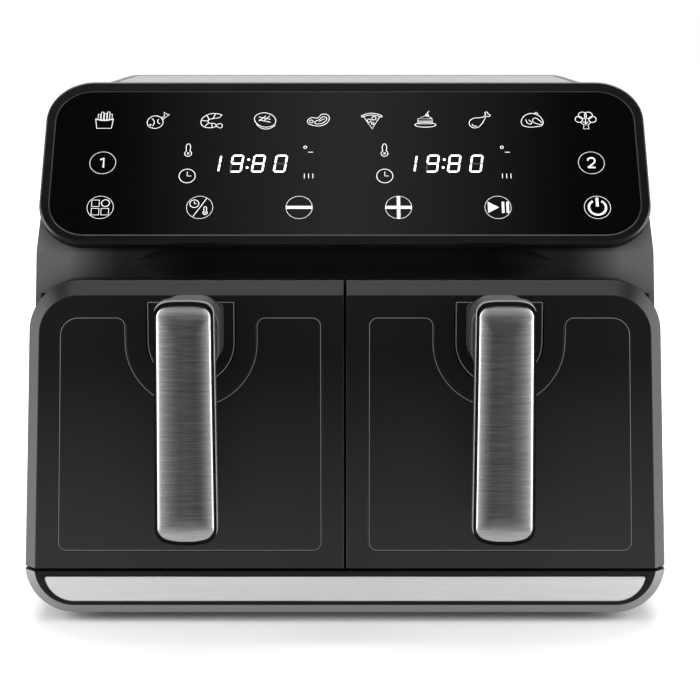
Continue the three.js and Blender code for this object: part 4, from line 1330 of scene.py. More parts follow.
def food(icon: Icon) -> list[Stroke]:
    """The lines of one food, in a field of about 13 by 13 millimetres round its middle."""
    if icon is Icon.CHIPS:
        sticks = [
            box_line(left, left + 1.5, 0.5, high)
            for left, high in ((-4.2, 4.6), (-2.2, 6.2), (-0.2, 5.2), (1.6, 6.4), (3.2, 4.8))
        ]
        tub = line((-5.6, 1.2), (-4.6, -6), (4.6, -6), (5.6, 1.2))
        lip = curve((-5.6, 1.2), (-2.8, 0.2), (0, -0.2), (2.8, 0.2), (5.6, 1.2))
        return [*sticks, tub, lip]
    if icon is Icon.FISH:
        body = loop(
            (-6.4, -3.2), (-5.6, 1.4), (-1.8, 3.4), (2.2, 1.6), (3.2, -2.4), (0.8, -5.4),
            (-3.2, -5.8),
        )
        tail = line(
            (2.0, 1.9), (4.0, 3.4), (3.6, 6.2), (5.2, 4.8), (7.2, 4.4), (4.8, 2.6), (2.9, 0.6)
        )
        gill = arc(3.4, -50, 60, -5.6, -1.6)
        return [body, tail, gill, ring(0.4, -4.6, -3.4), arc(2.0, 130, 260, 1.8, -0.6)]
    if icon is Icon.PRAWN:
        back = curve(
            (6.6, 4.2), (2.6, 5.2), (-3.0, 4.0), (-6.4, 0), (-5.4, -4.2), (-1.0, -5.6), (3.6, -4.6)
        )
        belly = curve(
            (6.6, 4.2), (5.0, 2.2), (1.0, 1.4), (-2.0, 0), (-1.4, -2.0), (2.0, -2.4), (3.6, -4.6)
        )
        ribs = [
            line((2.6, 5.2), (1.0, 1.4)),
            line((-3.0, 4.0), (-1.4, 0.6)),
            line((-6.4, 0), (-2.0, -0.6)),
            line((-4.2, -5.0), (-1.6, -1.6)),
            line((0.6, -5.5), (0.4, -2.5)),
        ]
        fan_tail = curve((3.6, -4.6), (6.4, -5.6), (6.2, -2.6), (3.0, -3.4))
        return [back, belly, *ribs, fan_tail]
    if icon is Icon.TOAST:
        slab = loop(
            (-6.6, 1.8), (-3.4, 5.2), (1.6, 5.4), (6.2, 2.0), (6.4, -2.6), (2.0, -5.0), (-3.6, -3.6)
        )
        edge = curve((-6.4, 0), (-3.2, -5.2), (2.2, -6.4), (6.6, -3.8))
        bars = [line((-3.6 + shift, -0.6), (0.4 + shift, 3.4)) for shift in (0.0, 2.6)]
        cross = [line((-3.8, 2.6 - drop), (3.6, 0.8 - drop)) for drop in (0.0, 2.2)]
        return [slab, edge, *bars, *cross]
    if icon is Icon.CHOP:
        rim = loop(
            (-6.8, -1.4), (-4.6, 2.0), (-0.6, 1.8), (2.4, 4.6), (6.2, 3.8), (6.6, 0), (3.0, -3.6),
            (-3.0, -3.8),
        )
        meat = loop((-2.2, -1.8), (0.6, 0.6), (3.4, 2.8), (5.2, 1.8), (4.4, -0.6), (1.6, -2.4))
        return [rim, meat, ring(1.1, -4.4, -0.8), curve((0.4, -0.8), (2.4, 0.4), (3.8, 1.2))]
    if icon is Icon.PIZZA:
        crust = curve((-6.6, 3.4), (-3.4, 4.9), (0, 5.4), (3.4, 4.9), (6.6, 3.4))
        under = curve((-6.2, 2.4), (-3.2, 3.6), (0, 4.0), (3.2, 3.6), (6.2, 2.4))
        ends = [line((-6.6, 3.4), (-6.2, 2.4)), line((6.6, 3.4), (6.2, 2.4))]
        slice_edges = line((-5.0, 2.6), (0.2, -6.4), (5.0, 2.6))
        return [
            crust,
            under,
            *ends,
            slice_edges,
            ring(1.3, 1.4, 1.6),
            ring(1.2, -1.6, -0.2),
            ring(0.8, 0.6, -2.4),
        ]
    if icon is Icon.CAKE:
        sponge = line(
            (-4.6, 1.2), (-4.6, -2.6), (4.4, -2.6), (4.4, 1.2), (-4.6, 1.2), (1.2, 4.0), (4.4, 1.2)
        )
        cream = line((-4.6, -0.6), (4.4, -0.6))
        stalk = curve((1.4, 4.4), (1.6, 5.8), (2.6, 7.0))
        return [sponge, cream, ring(0.9, 1.2, 4.0), stalk, ring(6.6, 0, -3.4, 0.26)]
    if icon is Icon.DRUMSTICK:
        meat = curve(
            (2.6, 2.4), (0.4, 2.0), (-3.6, 1.4), (-6.0, -1.6), (-4.6, -5.0), (-1.0, -5.4),
            (2.0, -2.4), (3.8, 1.0),
        )
        bone = curve(
            (2.6, 2.4), (4.4, 4.4), (4.2, 6.0), (5.6, 6.2), (6.2, 4.8), (7.4, 4.0), (6.4, 2.8),
            (5.0, 3.2), (3.8, 1.0),
        )
        return [meat, bone, arc(2.4, 200, 290, -2.0, -2.0)]
    if icon is Icon.ROAST:
        body = loop(
            (-6.4, -3.2), (-6.0, 1.8), (-1.8, 5.0), (3.0, 4.4), (6.2, 1.0), (6.4, -3.2),
            (2.0, -4.8), (-3.6, -4.8),
        )
        leg = curve((6.4, -3.2), (3.6, -2.8), (0.4, -0.4), (1.8, 1.8), (4.4, 0.2), (6.2, -2.0))
        wing = curve((-4.0, 0.6), (-2.8, -2.2), (-0.4, -2.4), (-2.0, 0.4))
        return [body, leg, wing, arc(1.6, 30, 150, 2.6, 4.2)]
    crown = [ring(2.3, -4.2, 0.8), ring(2.5, -1.8, 3.8), ring(2.5, 2.0, 3.8), ring(2.3, 4.4, 0.8)]
    stem = line((-3.4, -1.2), (-1.2, -3.4), (-1.6, -6.4), (1.8, -6.4), (1.4, -3.4), (3.6, -1.2))
    return [*crown, stem, line((0, 1.0), (0, -3.6)), line((-1.4, -1.0), (0, -2.6), (1.5, -1.0))]


@dataclass
class ControlPanel:
    """The panel's frame, its glass and everything printed or lit on it."""

    bench: Bench
    half_width: float = 185.0
    rounding: float = 29.0
    ring_thickness: float = 7.0
    glass_half: float = 178.9
    glass_low: float = 6.1
    glass_high: float = 109.9
    glass_rounding: float = 22.5
    glass_sink: float = 0.3
    icon_pitch: float = 33.05
    icon_row: float = 88.4
    icon_scale: float = 0.98
    number_row: float = 57.3
    number_left: float = -148.0
    number_right: float = 150.5
    key_row: float = 25.4
    key_pitch: float = 60.0
    key_shift: float = 2.3
    key_radius: float = 7.9
    ring_line: float = 0.12
    fine_line: float = 0.19  # half the thickness of a printed line
    bold_line: float = 0.2
    heavy_line: float = 0.48
    mark_columns: tuple[tuple[float, float], ...] = ((-96.1, -22.2), (24.2, 98.4))
    mark_rows: tuple[float, float] = (66.6, 47.8)
    colons: tuple[float, float] = (-59.3, 60.3)
    digit_places: tuple[float, ...] = (-20.4, -6.8, 6.4, 19.9)
    display_row: float = 56.7
    digit_height: float = 11.6
    digit_width: float = 6.4
    digit_slant: float = 0.14
    segment: float = 1.15
    ink_height: float = 0.08

    def outline(self, inset: float, rounding: float) -> list[Corner]:
        """The outline of the panel's frame, taken in by an inset."""
        half = self.half_width - inset
        return rectangle(-half, half, inset, SLOPE.length - inset, rounding)

    def glass_outline(self, grow: float) -> list[Corner]:
        """The outline of the glass, let out by grow."""
        half, low, high = self.glass_half + grow, self.glass_low - grow, self.glass_high + grow
        return rectangle(-half, half, low, high, self.glass_rounding + grow)

    def ring_frame(self) -> Mesh:
        """The moulded frame with the seat that the glass lies in."""
        made = thicken(blank(self.outline(0, self.rounding), 18), self.ring_thickness)
        chamfer(made, at_level(0), 2.0, 5)
        chamfer(made, at_level(-self.ring_thickness), 1.5, 2)
        seat = moved(thicken(blank(self.glass_outline(CLEAR), 18), 3), level(0.4))
        window = moved(thicken(blank(self.glass_outline(-4), 18), 30), level(10))
        return moved(combine(made, "DIFFERENCE", seat, window), SLOPE.place)

    def glass(self) -> Mesh:
        """The touch glass, with a ground edge."""
        made = thicken(blank(self.glass_outline(0), 18), 2.0)
        chamfer(made, at_level(0), 0.35, 2)
        return moved(made, SLOPE.place, level(-self.glass_sink))

    def glass_edge(self) -> Mesh:
        """A painted highlight: a pale hairline band round the glass, where its edge would catch the
        light.
        """
        outer = thicken(blank(self.glass_outline(0.12), 18), 0.6)
        inner = moved(thicken(blank(self.glass_outline(-0.28), 18), 3), level(1))
        made = combine(outer, "DIFFERENCE", inner)
        return moved(made, SLOPE.place, level(-self.glass_sink + 0.03))

    def lay(
        self, strokes: Sequence[Stroke], across: float, up: float, scale: float = 1.0
    ) -> list[Stroke]:
        """Places strokes on the panel."""
        return [
            Stroke(
                [(across + scale * point[0], up + scale * point[1]) for point in stroke.points],
                stroke.closed,
                stroke.smooth,
            )
            for stroke in strokes
        ]

    def thermometer(self) -> list[Stroke]:
        """A bulb and stem, 9 millimetres high."""
        stem = curve((-1.1, -0.9), (-1.1, 3.4), (0, 4.5), (1.1, 3.4), (1.1, -0.9))
        return [stem, arc(2.1, 121, 419, 0, -2.5), ring(0.5, 0, -2.5)]

    def clock(self, radius: float = 4.9) -> list[Stroke]:
        """A dial with two hands."""
        hands = line((0, 0.62 * radius), (0, 0), (0.5 * radius, 0))
        return [ring(radius), hands]

    def bars(self, *sizes: tuple[float, float]) -> list[Mesh]:
        """Solid bars through the middle of a key, each with half its width and half its height."""
        return [
            thicken(blank(rectangle(-half, half, -tall, tall, 0.3), 2), 0.2) for half, tall in sizes
        ]

    def menu_mark(self) -> tuple[list[Stroke], list[Mesh]]:
        """Three small squares and a circle."""
        squares = [(-3.0, 2.9), (-3.0, -3.0), (2.9, -3.0)]
        side = 2.3
        boxes = [box_line(x - side, x + side, y - side, y + side) for x, y in squares]
        return [*boxes, ring(2.4, 3.0, 3.0)], []

    def both_mark(self) -> tuple[list[Stroke], list[Mesh]]:
        """A clock and a thermometer with a slanting line between them."""
        dial = self.lay(self.clock(2.7), -3.3, 2.6)
        bulb = self.lay(self.thermometer(), 3.4, -2.2, 0.62)
        return [line((-3.9, -6.6), (4.2, 6.6)), *dial, *bulb], []

    def minus_mark(self) -> tuple[list[Stroke], list[Mesh]]:
        """A bar across the key."""
        return [], self.bars((self.key_radius, 1.0))

    def plus_mark(self) -> tuple[list[Stroke], list[Mesh]]:
        """Two bars across the key."""
        return [], self.bars((self.key_radius, 1.0), (1.0, self.key_radius))

    def start_mark(self) -> tuple[list[Stroke], list[Mesh]]:
        """A solid triangle and two bars."""
        shapes = [
            [(-6.1, -3.9, 0.2), (0.5, 0, 0.2), (-6.1, 3.9, 0.2)],
            rectangle(2.3, 3.8, -3.9, 3.9, 0.2),
            rectangle(5.1, 6.6, -3.9, 3.9, 0.2),
        ]
        return [], [thicken(blank(shape, 2), 0.2) for shape in shapes]

    def power_mark(self) -> tuple[list[Stroke], list[Mesh]]:
        """An open ring with a bar at its top."""
        radii = (4.7, 5.0, 5.3, 5.6)
        bar_face = thicken(blank(rectangle(-0.8, 0.8, 0.6, 6.8, 0.3), 2), 0.2)
        return [arc(radius, 122, 418) for radius in radii], [bar_face]

    def numeral(self, right: bool) -> list[Stroke]:
        """A plain figure that names a cooking position, 1 on the left and 2 on the right."""
        if not right:
            return [line((-1.6, 2.1), (0.5, 3.4), (0.5, -3.4))]
        bend = curve(
            (-2.2, 1.6), (-1.6, 3.0), (0.0, 3.5), (1.8, 2.8), (2.0, 1.0), (0.4, -1.2), (-2.2, -3.3)
        )
        return [bend, line((-2.3, -3.35), (2.3, -3.35))]

    def ink(self) -> Mesh:
        """Every printed mark on the glass."""
        rings: list[Stroke] = []
        fine: list[Stroke] = []
        bold: list[Stroke] = []
        heavy: list[Stroke] = []
        solid: list[Mesh] = []
        for icon in Icon:
            across = (icon.value - (len(Icon) - 1) / 2) * self.icon_pitch
            fine += self.lay(food(icon), across, self.icon_row, self.icon_scale)
        for left, right in self.mark_columns:
            upper, lower = self.mark_rows
            bold += self.lay(self.thermometer(), left, upper)
            bold += self.lay(self.clock(), left, lower)
            bold += self.lay([ring(0.9, -2.2, 2.0), line((-0.4, -1.6), (2.6, -1.6))], right, upper)
            ticks = [line((step, -1.7), (step, 1.7)) for step in (-2.6, 0.0, 2.6)]
            bold += self.lay(ticks, right, lower)
        for across, is_right in ((self.number_left, False), (self.number_right, True)):
            rings.append(ring(self.key_radius, across, self.number_row))
            heavy += self.lay(self.numeral(is_right), across, self.number_row)
        marks = (
            self.menu_mark,
            self.both_mark,
            self.minus_mark,
            self.plus_mark,
            self.start_mark,
            self.power_mark,
        )
        for place, mark in enumerate(marks):
            across = (place - (len(marks) - 1) / 2) * self.key_pitch + self.key_shift
            drawn, shapes = mark()
            bold += self.lay(drawn, across, self.key_row)
            rings.append(ring(self.key_radius, across, self.key_row))
            spot = Matrix.Translation((across, self.key_row, self.ink_height))
            solid += [moved(shape, spot) for shape in shapes]
        layers = []
        weights = (
            (rings, self.ring_line),
            (fine, self.fine_line),
            (bold, self.bold_line),
            (heavy, self.heavy_line),
        )
        for strokes, radius in weights:
            layers.append(tube(strokes, radius, self.ink_height / radius, 1))
        return moved(together(*layers, *solid), SLOPE.place, level(-self.glass_sink))

    def stick(self, right: float, up: float, turn: float) -> Mesh:
        """One pointed segment of a digit.

        Args:
            right: Its middle, across from the digit's middle.
            up: Its middle, up from the digit's middle.
            turn: 0 for a level segment, 90 for an upright one.

        Returns:
            A thin slab.
        """
        length = (self.digit_width if turn == 0 else self.digit_height / 2) / 2 - 0.15
        thick = self.segment / 2
        tip = [
            (-length, 0, 0),
            (-length + thick, -thick, 0),
            (length - thick, -thick, 0),
            (length, 0, 0),
            (length - thick, thick, 0),
            (-length + thick, thick, 0),
        ]
        stand = Matrix.Rotation(math.radians(turn), 4, "Z")
        return moved(thicken(blank(tip), 0.12), Matrix.Translation((right, up, 0)), stand)

    def segments(self, lit: bool) -> Mesh:
        """The digit segments that are lit, or those that are not."""
        figures = "1980"
        patterns = {"1": "bc", "9": "abcdfg", "8": "abcdefg", "0": "abcdef"}
        half_w, half_h = self.digit_width / 2, self.digit_height / 2
        spots = {
            "a": (0, half_h, 0),
            "b": (half_w, half_h / 2, 90),
            "c": (half_w, -half_h / 2, 90),
            "d": (0, -half_h, 0),
            "e": (-half_w, -half_h / 2, 90),
            "f": (-half_w, half_h / 2, 90),
            "g": (0, 0, 0),
        }
        slant = Matrix.Identity(4)
        slant[0][1] = self.digit_slant
        shapes = []
        for colon in self.colons:
            for offset, figure in zip(self.digit_places, figures):
                spot = Matrix.Translation((colon + offset, self.display_row, 0))
                if not lit and figure == "1":
                    continue  # the leading place has no unlit segments that show
                wanted = [key for key in spots if (key in patterns[figure]) == lit]
                shapes += [moved(self.stick(*spots[key]), spot, slant) for key in wanted]
            for up in (-2.9, 2.9) if lit else ():
                dot = thicken(blank(rectangle(-0.8, 0.8, -0.8, 0.8, 0.7), 4), 0.12)
                spot = Matrix.Translation((colon + up * self.digit_slant, self.display_row + up, 0))
                shapes.append(moved(dot, spot))
        height = 0.06 if lit else 0.04
        return moved(together(*shapes), SLOPE.place, level(height - self.glass_sink))

    def build(self) -> None:
        """Makes every piece of the panel."""
        make, on, slot = self.bench.piece, "chassis", "panel_glass"
        make("panel_ring", self.ring_frame(), RING_BLACK, on, "gloss_black", ["panel_frame"], 0.25)
        make("touch_glass", self.glass(), TOUCH_BLACK, on, slot, ["panel_glass"])
        # painted highlight: the hairline band round the glass
        make("touch_glass_painted_highlight", self.glass_edge(), GLASS_EDGE_HIGHLIGHT, on, slot)
        make("panel_marks", self.ink(), INK_WHITE, on, slot)
        make("digits_lit", self.segments(True), DIGIT_WHITE, on, slot)
        make("digits_unlit", self.segments(False), WINDOW_BLACK, on, slot)
        self.bench.dress("control_board", CircuitBoard())


# ---- The drawers ----


@dataclass
class Drawer:
    """One drawer: its front, handle, pan and crisper plate."""

    bench: Bench
    side: Side
    depth: float = 20.0
    low: float = 34.0
    high: float = 208.5
    rounding: float = 30.0
    rim: float = 8.0
    split: float = 0.75
    handle_x: float = 91.3
    bar_x: float = 91.9
    notch_z: float = 172.5
    notch_outer: float = 39.0
    notch_inner: float = 25.7
    notch_top: float = 196.7
    mount_half: float = 18.6
    mount_low: float = 160.0
    mount_high: float = 200.9
    flange_half: float = 19.4
    handle_low: float = 61.3
    handle_high: float = 203.9
    handle_top_half: float = 17.2
    handle_foot_half: float = 18.2
    stand_off: float = 50.0
    handle_thickness: float = 17.0
    frame_step: float = 1.9  # the black rim lies this far behind the crown of the steel
    bezel_depth: float = 6.0
    steel_inset: float = 1.75
    groove: float = 0.45
    inlay_seat: float = 1.4
    field_seat: float = 2.9
    side_reach: float = 187.1 / 186.0  # the side's chamfer is a little narrower than the top's

    @property
    def body(self) -> str:
        """The CAD body that the drawer is."""
        return f"{self.side.word}_drawer"

    @property
    def place(self) -> Matrix:
        """Sets a front-facing drawing of the right-hand drawer at this drawer's face."""
        return mirrored(self.side) @ frontal(FACE_Y)

    def inlay_outline(self, grow: float) -> list[Corner]:
        """The plate on the front, notched round the handle and let out by grow."""
        left, low, high = 14.3 - grow, 45.3 - grow, 187.3 + grow
        foot, head = 172.9 + grow, 168.6 + grow
        notch = self.notch_outer - grow
        base = self.notch_z - notch
        return [
            (left, low, 5 + grow),
            (foot, low, 5 + grow),
            (head, high, 10.5 + grow),
            (self.handle_x + notch, high, 5 + grow),
            (self.handle_x + notch, base, notch - 0.05),
            (self.handle_x - notch, base, notch - 0.05),
            (self.handle_x - notch, high, 5 + grow),
            (left, high, 5 + grow),
        ]

    def field_outline(self, grow: float) -> list[Corner]:
        """The U-shaped field behind the handle, let out by grow."""
        half = self.notch_inner + grow
        low, high = self.notch_z - half, self.notch_top + grow
        return [
            (self.handle_x - half, low, half - 0.05),
            (self.handle_x + half, low, half - 0.05),
            (self.handle_x + half, high, 0.6),
            (self.handle_x - half, high, 0.6),
        ]

    def front(self) -> Mesh:
        """The moulded front, chamfered along its top and its outer side."""
        foot, head = half_width(self.low), half_width(self.high)
        low, high, inner = self.low, self.high, self.split
        corners = [(inner, low, 0), (foot, low, 0), (head, high, self.rounding), (inner, high, 0)]
        made = thicken(blank(corners, 20), self.depth)

        def outer_rim(one: Vector, two: Vector) -> bool:
            """Picks the face's upper and outer edges."""
            clear = min(one.x, two.x) > inner + 0.1 or min(one.y, two.y) > high - 0.1
            return at_level(0)(one, two) and clear and max(one.y, two.y) > low + 0.1

        def lower_rim(one: Vector, two: Vector) -> bool:
            """Picks the lower edge of the face."""
            return at_level(0)(one, two) and max(one.y, two.y) < low + 0.1

        chamfer(made, outer_rim, self.rim, 1)
        face = [vert for vert in made.verts if abs(vert.co.z) < 0.01 and vert.co.x > self.split + 1]
        bmesh.ops.scale(made, vec=(self.side_reach, 1, 1), verts=face)
        chamfer(made, lower_rim, 0.9, 2)
        pocket = blank(self.inlay_outline(self.groove), 14)
        pocket = moved(thicken(pocket, 3), level(3 - self.inlay_seat))
        field = blank(self.field_outline(self.groove + 0.25), 18)
        field = moved(thicken(field, 4), level(4 - self.field_seat))
        back_low, back_high = 9 + CLEAR, self.low + 4 + CLEAR
        behind = [
            (4.3, back_high, 0),
            (foot - back_low, back_high, 0),
            (head - back_low, self.high - back_low, 14),
            (4.3, self.high - back_low, 0),
        ]
        recess = moved(thicken(blank(behind), 10), level(3.3 - self.depth))
        return moved(combine(made, "DIFFERENCE", pocket, field, recess), self.place)

    def inlay(self) -> Mesh:
        """The plate let into the front, with a fine eased edge."""
        made = thicken(blank(self.inlay_outline(0), 14), 1.2)
        chamfer(made, at_level(0), 0.3, 2)
        return moved(made, self.place)

    def field(self) -> Mesh:
        """The sunken plate behind the handle, with an eased edge; the bright line round it is a
        painted highlight.
        """
        made = thicken(blank(self.field_outline(0), 18), 2.0)
        chamfer(made, at_level(0), 0.45, 2)
        return moved(made, self.place, level(-0.3))

    def inlay_edge(self) -> Mesh:
        """A painted highlight: a grey hairline band round the plate on the front, where its edge
        would catch the light.
        """
        return moved(border(self.inlay_outline, 0.4, 0.5, 14), self.place, level(0.03))

    def field_edge(self) -> Mesh:
        """A painted highlight: a pale band round the sunken plate, where its edge would catch the
        light.
        """
        return moved(border(self.field_outline, 0.45, 0.5, 18), self.place, level(-0.25))

    def arched(
        self, half: float, low: float, high: float, foot: float, head: float
    ) -> list[Corner]:
        """An upright outline on the handle's axis, rounded apart at its foot and its head."""
        left, right = self.handle_x - half, self.handle_x + half
        return [(left, low, foot), (right, low, foot), (right, high, head), (left, high, head)]

    def mount(self) -> Mesh:
        """The arched block that carries the handle."""
        corners = self.arched(self.mount_half, self.mount_low, self.mount_high, 13, 13)
        reach = self.stand_off - self.handle_thickness
        made = thicken(blank(corners, 14), reach - 0.4)
        chamfer(made, at_level(0), 1.0, 3)
        return moved(made, self.place, level(reach))

    def flange(self) -> Mesh:
        """The stepped rim of the mount on the sunken plate."""
        corners = self.arched(self.flange_half, self.mount_low - 1, self.notch_top - 0.6, 14, 3)
        made = thicken(blank(corners, 14), 1.6)
        chamfer(made, at_level(0), 0.5, 2)
        return moved(made, self.place, level(1.0))

    def bar_outline(self, inset: float) -> list[Corner]:
        """The handle's outline with shallow curved ends, taken in by an inset."""
        foot, head = self.handle_foot_half - inset, self.handle_top_half - inset
        low, high = self.handle_low + inset * 1.3, self.handle_high - inset * 1.5
        x, size = self.bar_x, foot / self.handle_foot_half
        return [
            (x - foot * 0.45, low, 5.0 * size),
            (x + foot * 0.45, low, 5.0 * size),
            (x + foot, low + 3.6 * size, 5.6 * size),
            (x + head, high - 2.0 * size, 5.4 * size),
            (x + head * 0.5, high, 4.0 * size),
            (x - head * 0.5, high, 4.0 * size),
            (x - head, high - 2.0 * size, 5.4 * size),
            (x - foot, low + 3.6 * size, 5.6 * size),
        ]

    def bezel(self) -> Mesh:
        """The polished black rim round the steel, with a seat for it."""
        made = thicken(blank(self.bar_outline(0.3), 10), self.bezel_depth)
        chamfer(made, at_level(0), 1.2, 4)
        seat = thicken(blank(self.bar_outline(self.steel_inset - 0.3), 10), 4)
        made = combine(made, "DIFFERENCE", moved(seat, level(4 - 1.8)))
        return moved(made, self.place, level(self.stand_off - self.frame_step))

    def bezel_edge(self) -> Mesh:
        """A painted highlight: a fine pale band where the bezel meets the shell behind it, where
        the edge would catch the light.
        """
        made = border(lambda grow: self.bar_outline(0.04 - grow), 0.4, 0.5, 10)
        height = self.stand_off - self.frame_step - self.bezel_depth + 0.35
        return moved(made, self.place, level(height))

    def grip(self) -> Mesh:
        """The satin shell behind the bezel, rounded for the fingers."""
        depth = self.handle_thickness - self.frame_step - self.bezel_depth
        made = thicken(blank(self.bar_outline(0), 10), depth)
        chamfer(made, at_level(0), 0.4, 2)
        chamfer(made, at_level(-depth), 3.0, 5)
        return moved(made, self.place, level(self.stand_off - self.handle_thickness + depth))

    def steel(self) -> Mesh:
        """The steel plate on the bar, crowned in ever flatter steps from its edge to its middle."""
        steps = (
            (0.35, 0.45), (0.8, 0.5), (1.1, 0.45), (1.4, 0.4), (1.7, 0.32), (2.1, 0.24),
            (2.5, 0.16), (2.8, 0.07),
        )
        inset, height = self.steel_inset, 0.0
        rings = [(inset, -0.8), (inset, height)]
        for width, rise in steps:
            inset, height = inset + width, height + rise
            rings.append((inset, height))
        made = together(
            *(moved(blank(self.bar_outline(taken), 10), level(up)) for taken, up in rings)
        )
        between = [
            face for face in made.faces if -0.7 < face.calc_center_median().z < height - 0.01
        ]
        bmesh.ops.delete(made, geom=between, context="FACES_ONLY")
        for (_, lower), (_, upper) in zip(rings, rings[1:]):
            pair: list[bmesh.types.BMEdge] = []
            for test in (at_level(lower), at_level(upper)):
                pair += [edge for edge in made.edges if test(edge.verts[0].co, edge.verts[1].co)]
            bmesh.ops.bridge_loops(made, edges=pair)
        bmesh.ops.recalc_face_normals(made, faces=made.faces[:])
        return moved(made, self.place, level(self.stand_off + CLEAR - height))

    def pan(self) -> Mesh:
        """The pan, pressed with rounded edges and a turned-out rim."""
        box = Extent.of(f"pan_{self.side.word}")
        rim = 3.0
        left, right = box.low.x + rim, box.high.x - rim
        corners = rectangle(left, right, box.low.y, box.high.y - rim, 22)
        made = thicken(blank(corners, 10), box.high.z - box.low.z)
        lid = [face for face in made.faces if abs(face.calc_center_median().z) < 0.01]
        bmesh.ops.delete(made, geom=lid, context="FACES")
        chamfer(made, at_level(box.low.z - box.high.z), 8.0, 6)
        edge = [item for item in made.edges if item.is_boundary]
        middle = Vector(((left + right) / 2, (box.low.y + box.high.y - rim) / 2, 0))
        for out, down in ((rim, 0.0), (0.0, 1.6)):
            grown = bmesh.ops.extrude_edge_only(made, edges=edge)
            fresh = [item for item in grown["geom"] if isinstance(item, bmesh.types.BMVert)]
            edge = [item for item in grown["geom"] if isinstance(item, bmesh.types.BMEdge)]
            half = (Vector((right, box.high.y - rim, 0)) - middle) if out else Vector((1, 1, 0))
            grow = (1 + out / half.x, 1 + out / half.y, 1)
            bmesh.ops.scale(made, vec=grow, space=Matrix.Translation(-middle), verts=fresh)
            bmesh.ops.translate(made, vec=(0, 0, -down), verts=fresh)
        bmesh.ops.recalc_face_normals(made, faces=made.faces[:])
        front = box.low.y
        for vert in made.verts:
            vert.co.y = max(vert.co.y, front)
        return moved(made, level(box.high.z))

    def plate_middle(self) -> tuple[Extent, float]:
        """The crisper plate's box, and the height of its top."""
        box = Extent.of(f"crisper_plate_{self.side.word}")
        return box, box.high.z

    def crisper(self) -> Mesh:
        """The slotted plate, with an eased edge and a hole for a finger."""
        box, top = self.plate_middle()
        made = thicken(blank(rectangle(box.low.x, box.high.x, box.low.y, box.high.y, 18)), 2.0)
        chamfer(made, at_level(0), 0.6, 2)
        tools = [moved(bar(11, 10, 40), Matrix.Translation((box.middle.x, box.middle.y, 0)))]
        rows, columns, half_long, half_wide = 9, 3, 17.0, 2.6
        pitch = (box.high.y - box.low.y - 36) / (rows - 1)
        for row in range(rows):
            for column in range(columns):
                if column == 1 and abs(row - (rows - 1) / 2) < 1.1:
                    continue
                if column != 1 and row in (0, rows - 1):
                    continue
                x = box.middle.x + (column - 1) * (2 * half_long + 9)
                y = box.middle.y + (row - (rows - 1) / 2) * pitch
                slot = rectangle(x - half_long, x + half_long, y - half_wide, y + half_wide, 2.5)
                tools.append(moved(thicken(blank(slot, 4), 10), level(5)))
        made = combine(made, "DIFFERENCE", *tools)
        return moved(made, level(top))

    def crisper_feet(self) -> Mesh:
        """The pressed feet under the plate."""
        box, top = self.plate_middle()
        feet = []
        for across in (-50, 50):
            for along in (box.low.y + 30, box.high.y - 30):
                low, high = box.low.z, top - 2.3
                profile = [(0, low), (4.6, low), (6, low + 1.4), (7, high), (0, high)]
                spot = Matrix.Translation((box.middle.x + across, along, 0))
                feet.append(moved(turned(profile, 24), spot))
        return together(*feet)

    def bumpers(self) -> Mesh:
        """Soft blocks on the plate's edge that stop it rattling."""
        box, top = self.plate_middle()
        blocks = []
        for across in (box.low.x, box.high.x):
            for along in (box.low.y + 45, box.high.y - 45):
                block = thicken(blank(rectangle(-2.2, 2.2, -7, 7, 1.8)), 4.4)
                chamfer(block, at_level(0), 1.0, 3)
                blocks.append(moved(block, Matrix.Translation((across, along, top + 1.2))))
        return together(*blocks)

    def build(self) -> None:
        """Makes every piece of the drawer."""
        word, body = self.side.word, self.body
        make = self.bench.piece
        rows: list[tuple[str, Mesh, Finish, str, str, float, float]] = [
            ("drawer_face", self.front(), FRONT_BLACK, "front", "drawer_front", 0.35, 28),
            ("inlay_plate", self.inlay(), FRONT_BLACK, "front", "front_inlay", 0, 32),
            ("handle_field", self.field(), FRONT_BLACK, "front", "handle_escutcheon", 0, 32),
            # painted highlight: the hairline round the inlay
            ("inlay_painted_highlight", self.inlay_edge(), INLAY_HIGHLIGHT_GREY, "front", "", 0, 32),
            # painted highlight: the edge band round the handle field
            ("handle_field_painted_highlight", self.field_edge(), FIELD_HIGHLIGHT_GREY, "front", "", 0, 32),
            ("handle_block", self.mount(), MOUNT_GREY, "housing", "handle_mount", 0, 32),
            ("handle_flange", self.flange(), MOUNT_GREY, "housing", "", 0, 32),
            ("handle_bezel", self.bezel(), HANDLE_BLACK, "gloss_black", "handle_frame", 0.2, 32),
            # painted highlight: the pale line round the bezel
            ("handle_bezel_painted_highlight", self.bezel_edge(), BEZEL_HIGHLIGHT_GREY, "housing", "", 0, 32),
            ("handle_grip", self.grip(), MOUNT_GREY, "housing", "handle_frame", 0, 32),
            ("handle_steel", self.steel(), STEEL_HANDLE, "brushed_steel", "handle_insert", 0, 32),
        ]
        for name, made, finish, slot, node, ease, crease in rows:
            nodes = [f"{node}_{word}"] if node else []
            make(f"{name}_{word}", made, finish, body, slot, nodes, ease, crease)
        pan = make(f"pan_shell_{word}", self.pan(), NON_STICK, body, "non_stick", [f"pan_{word}"])
        wall = pan.modifiers.new("sheet", "SOLIDIFY")
        wall.thickness, wall.offset = 1.6 * MM, -1.0
        lift, nodes = f"{word}_crisper", [f"crisper_plate_{word}"]
        make(f"crisper_sheet_{word}", self.crisper(), NON_STICK, lift, "non_stick", nodes, 0.3)
        make(f"crisper_feet_{word}", self.crisper_feet(), NON_STICK, lift, "non_stick")
        make(f"crisper_bumpers_{word}", self.bumpers(), SILICONE, lift, "rubber")
        self.bench.dress(f"drawer_back_plate_{word}", FRONT_BLACK)


# ---- The cooking positions ----


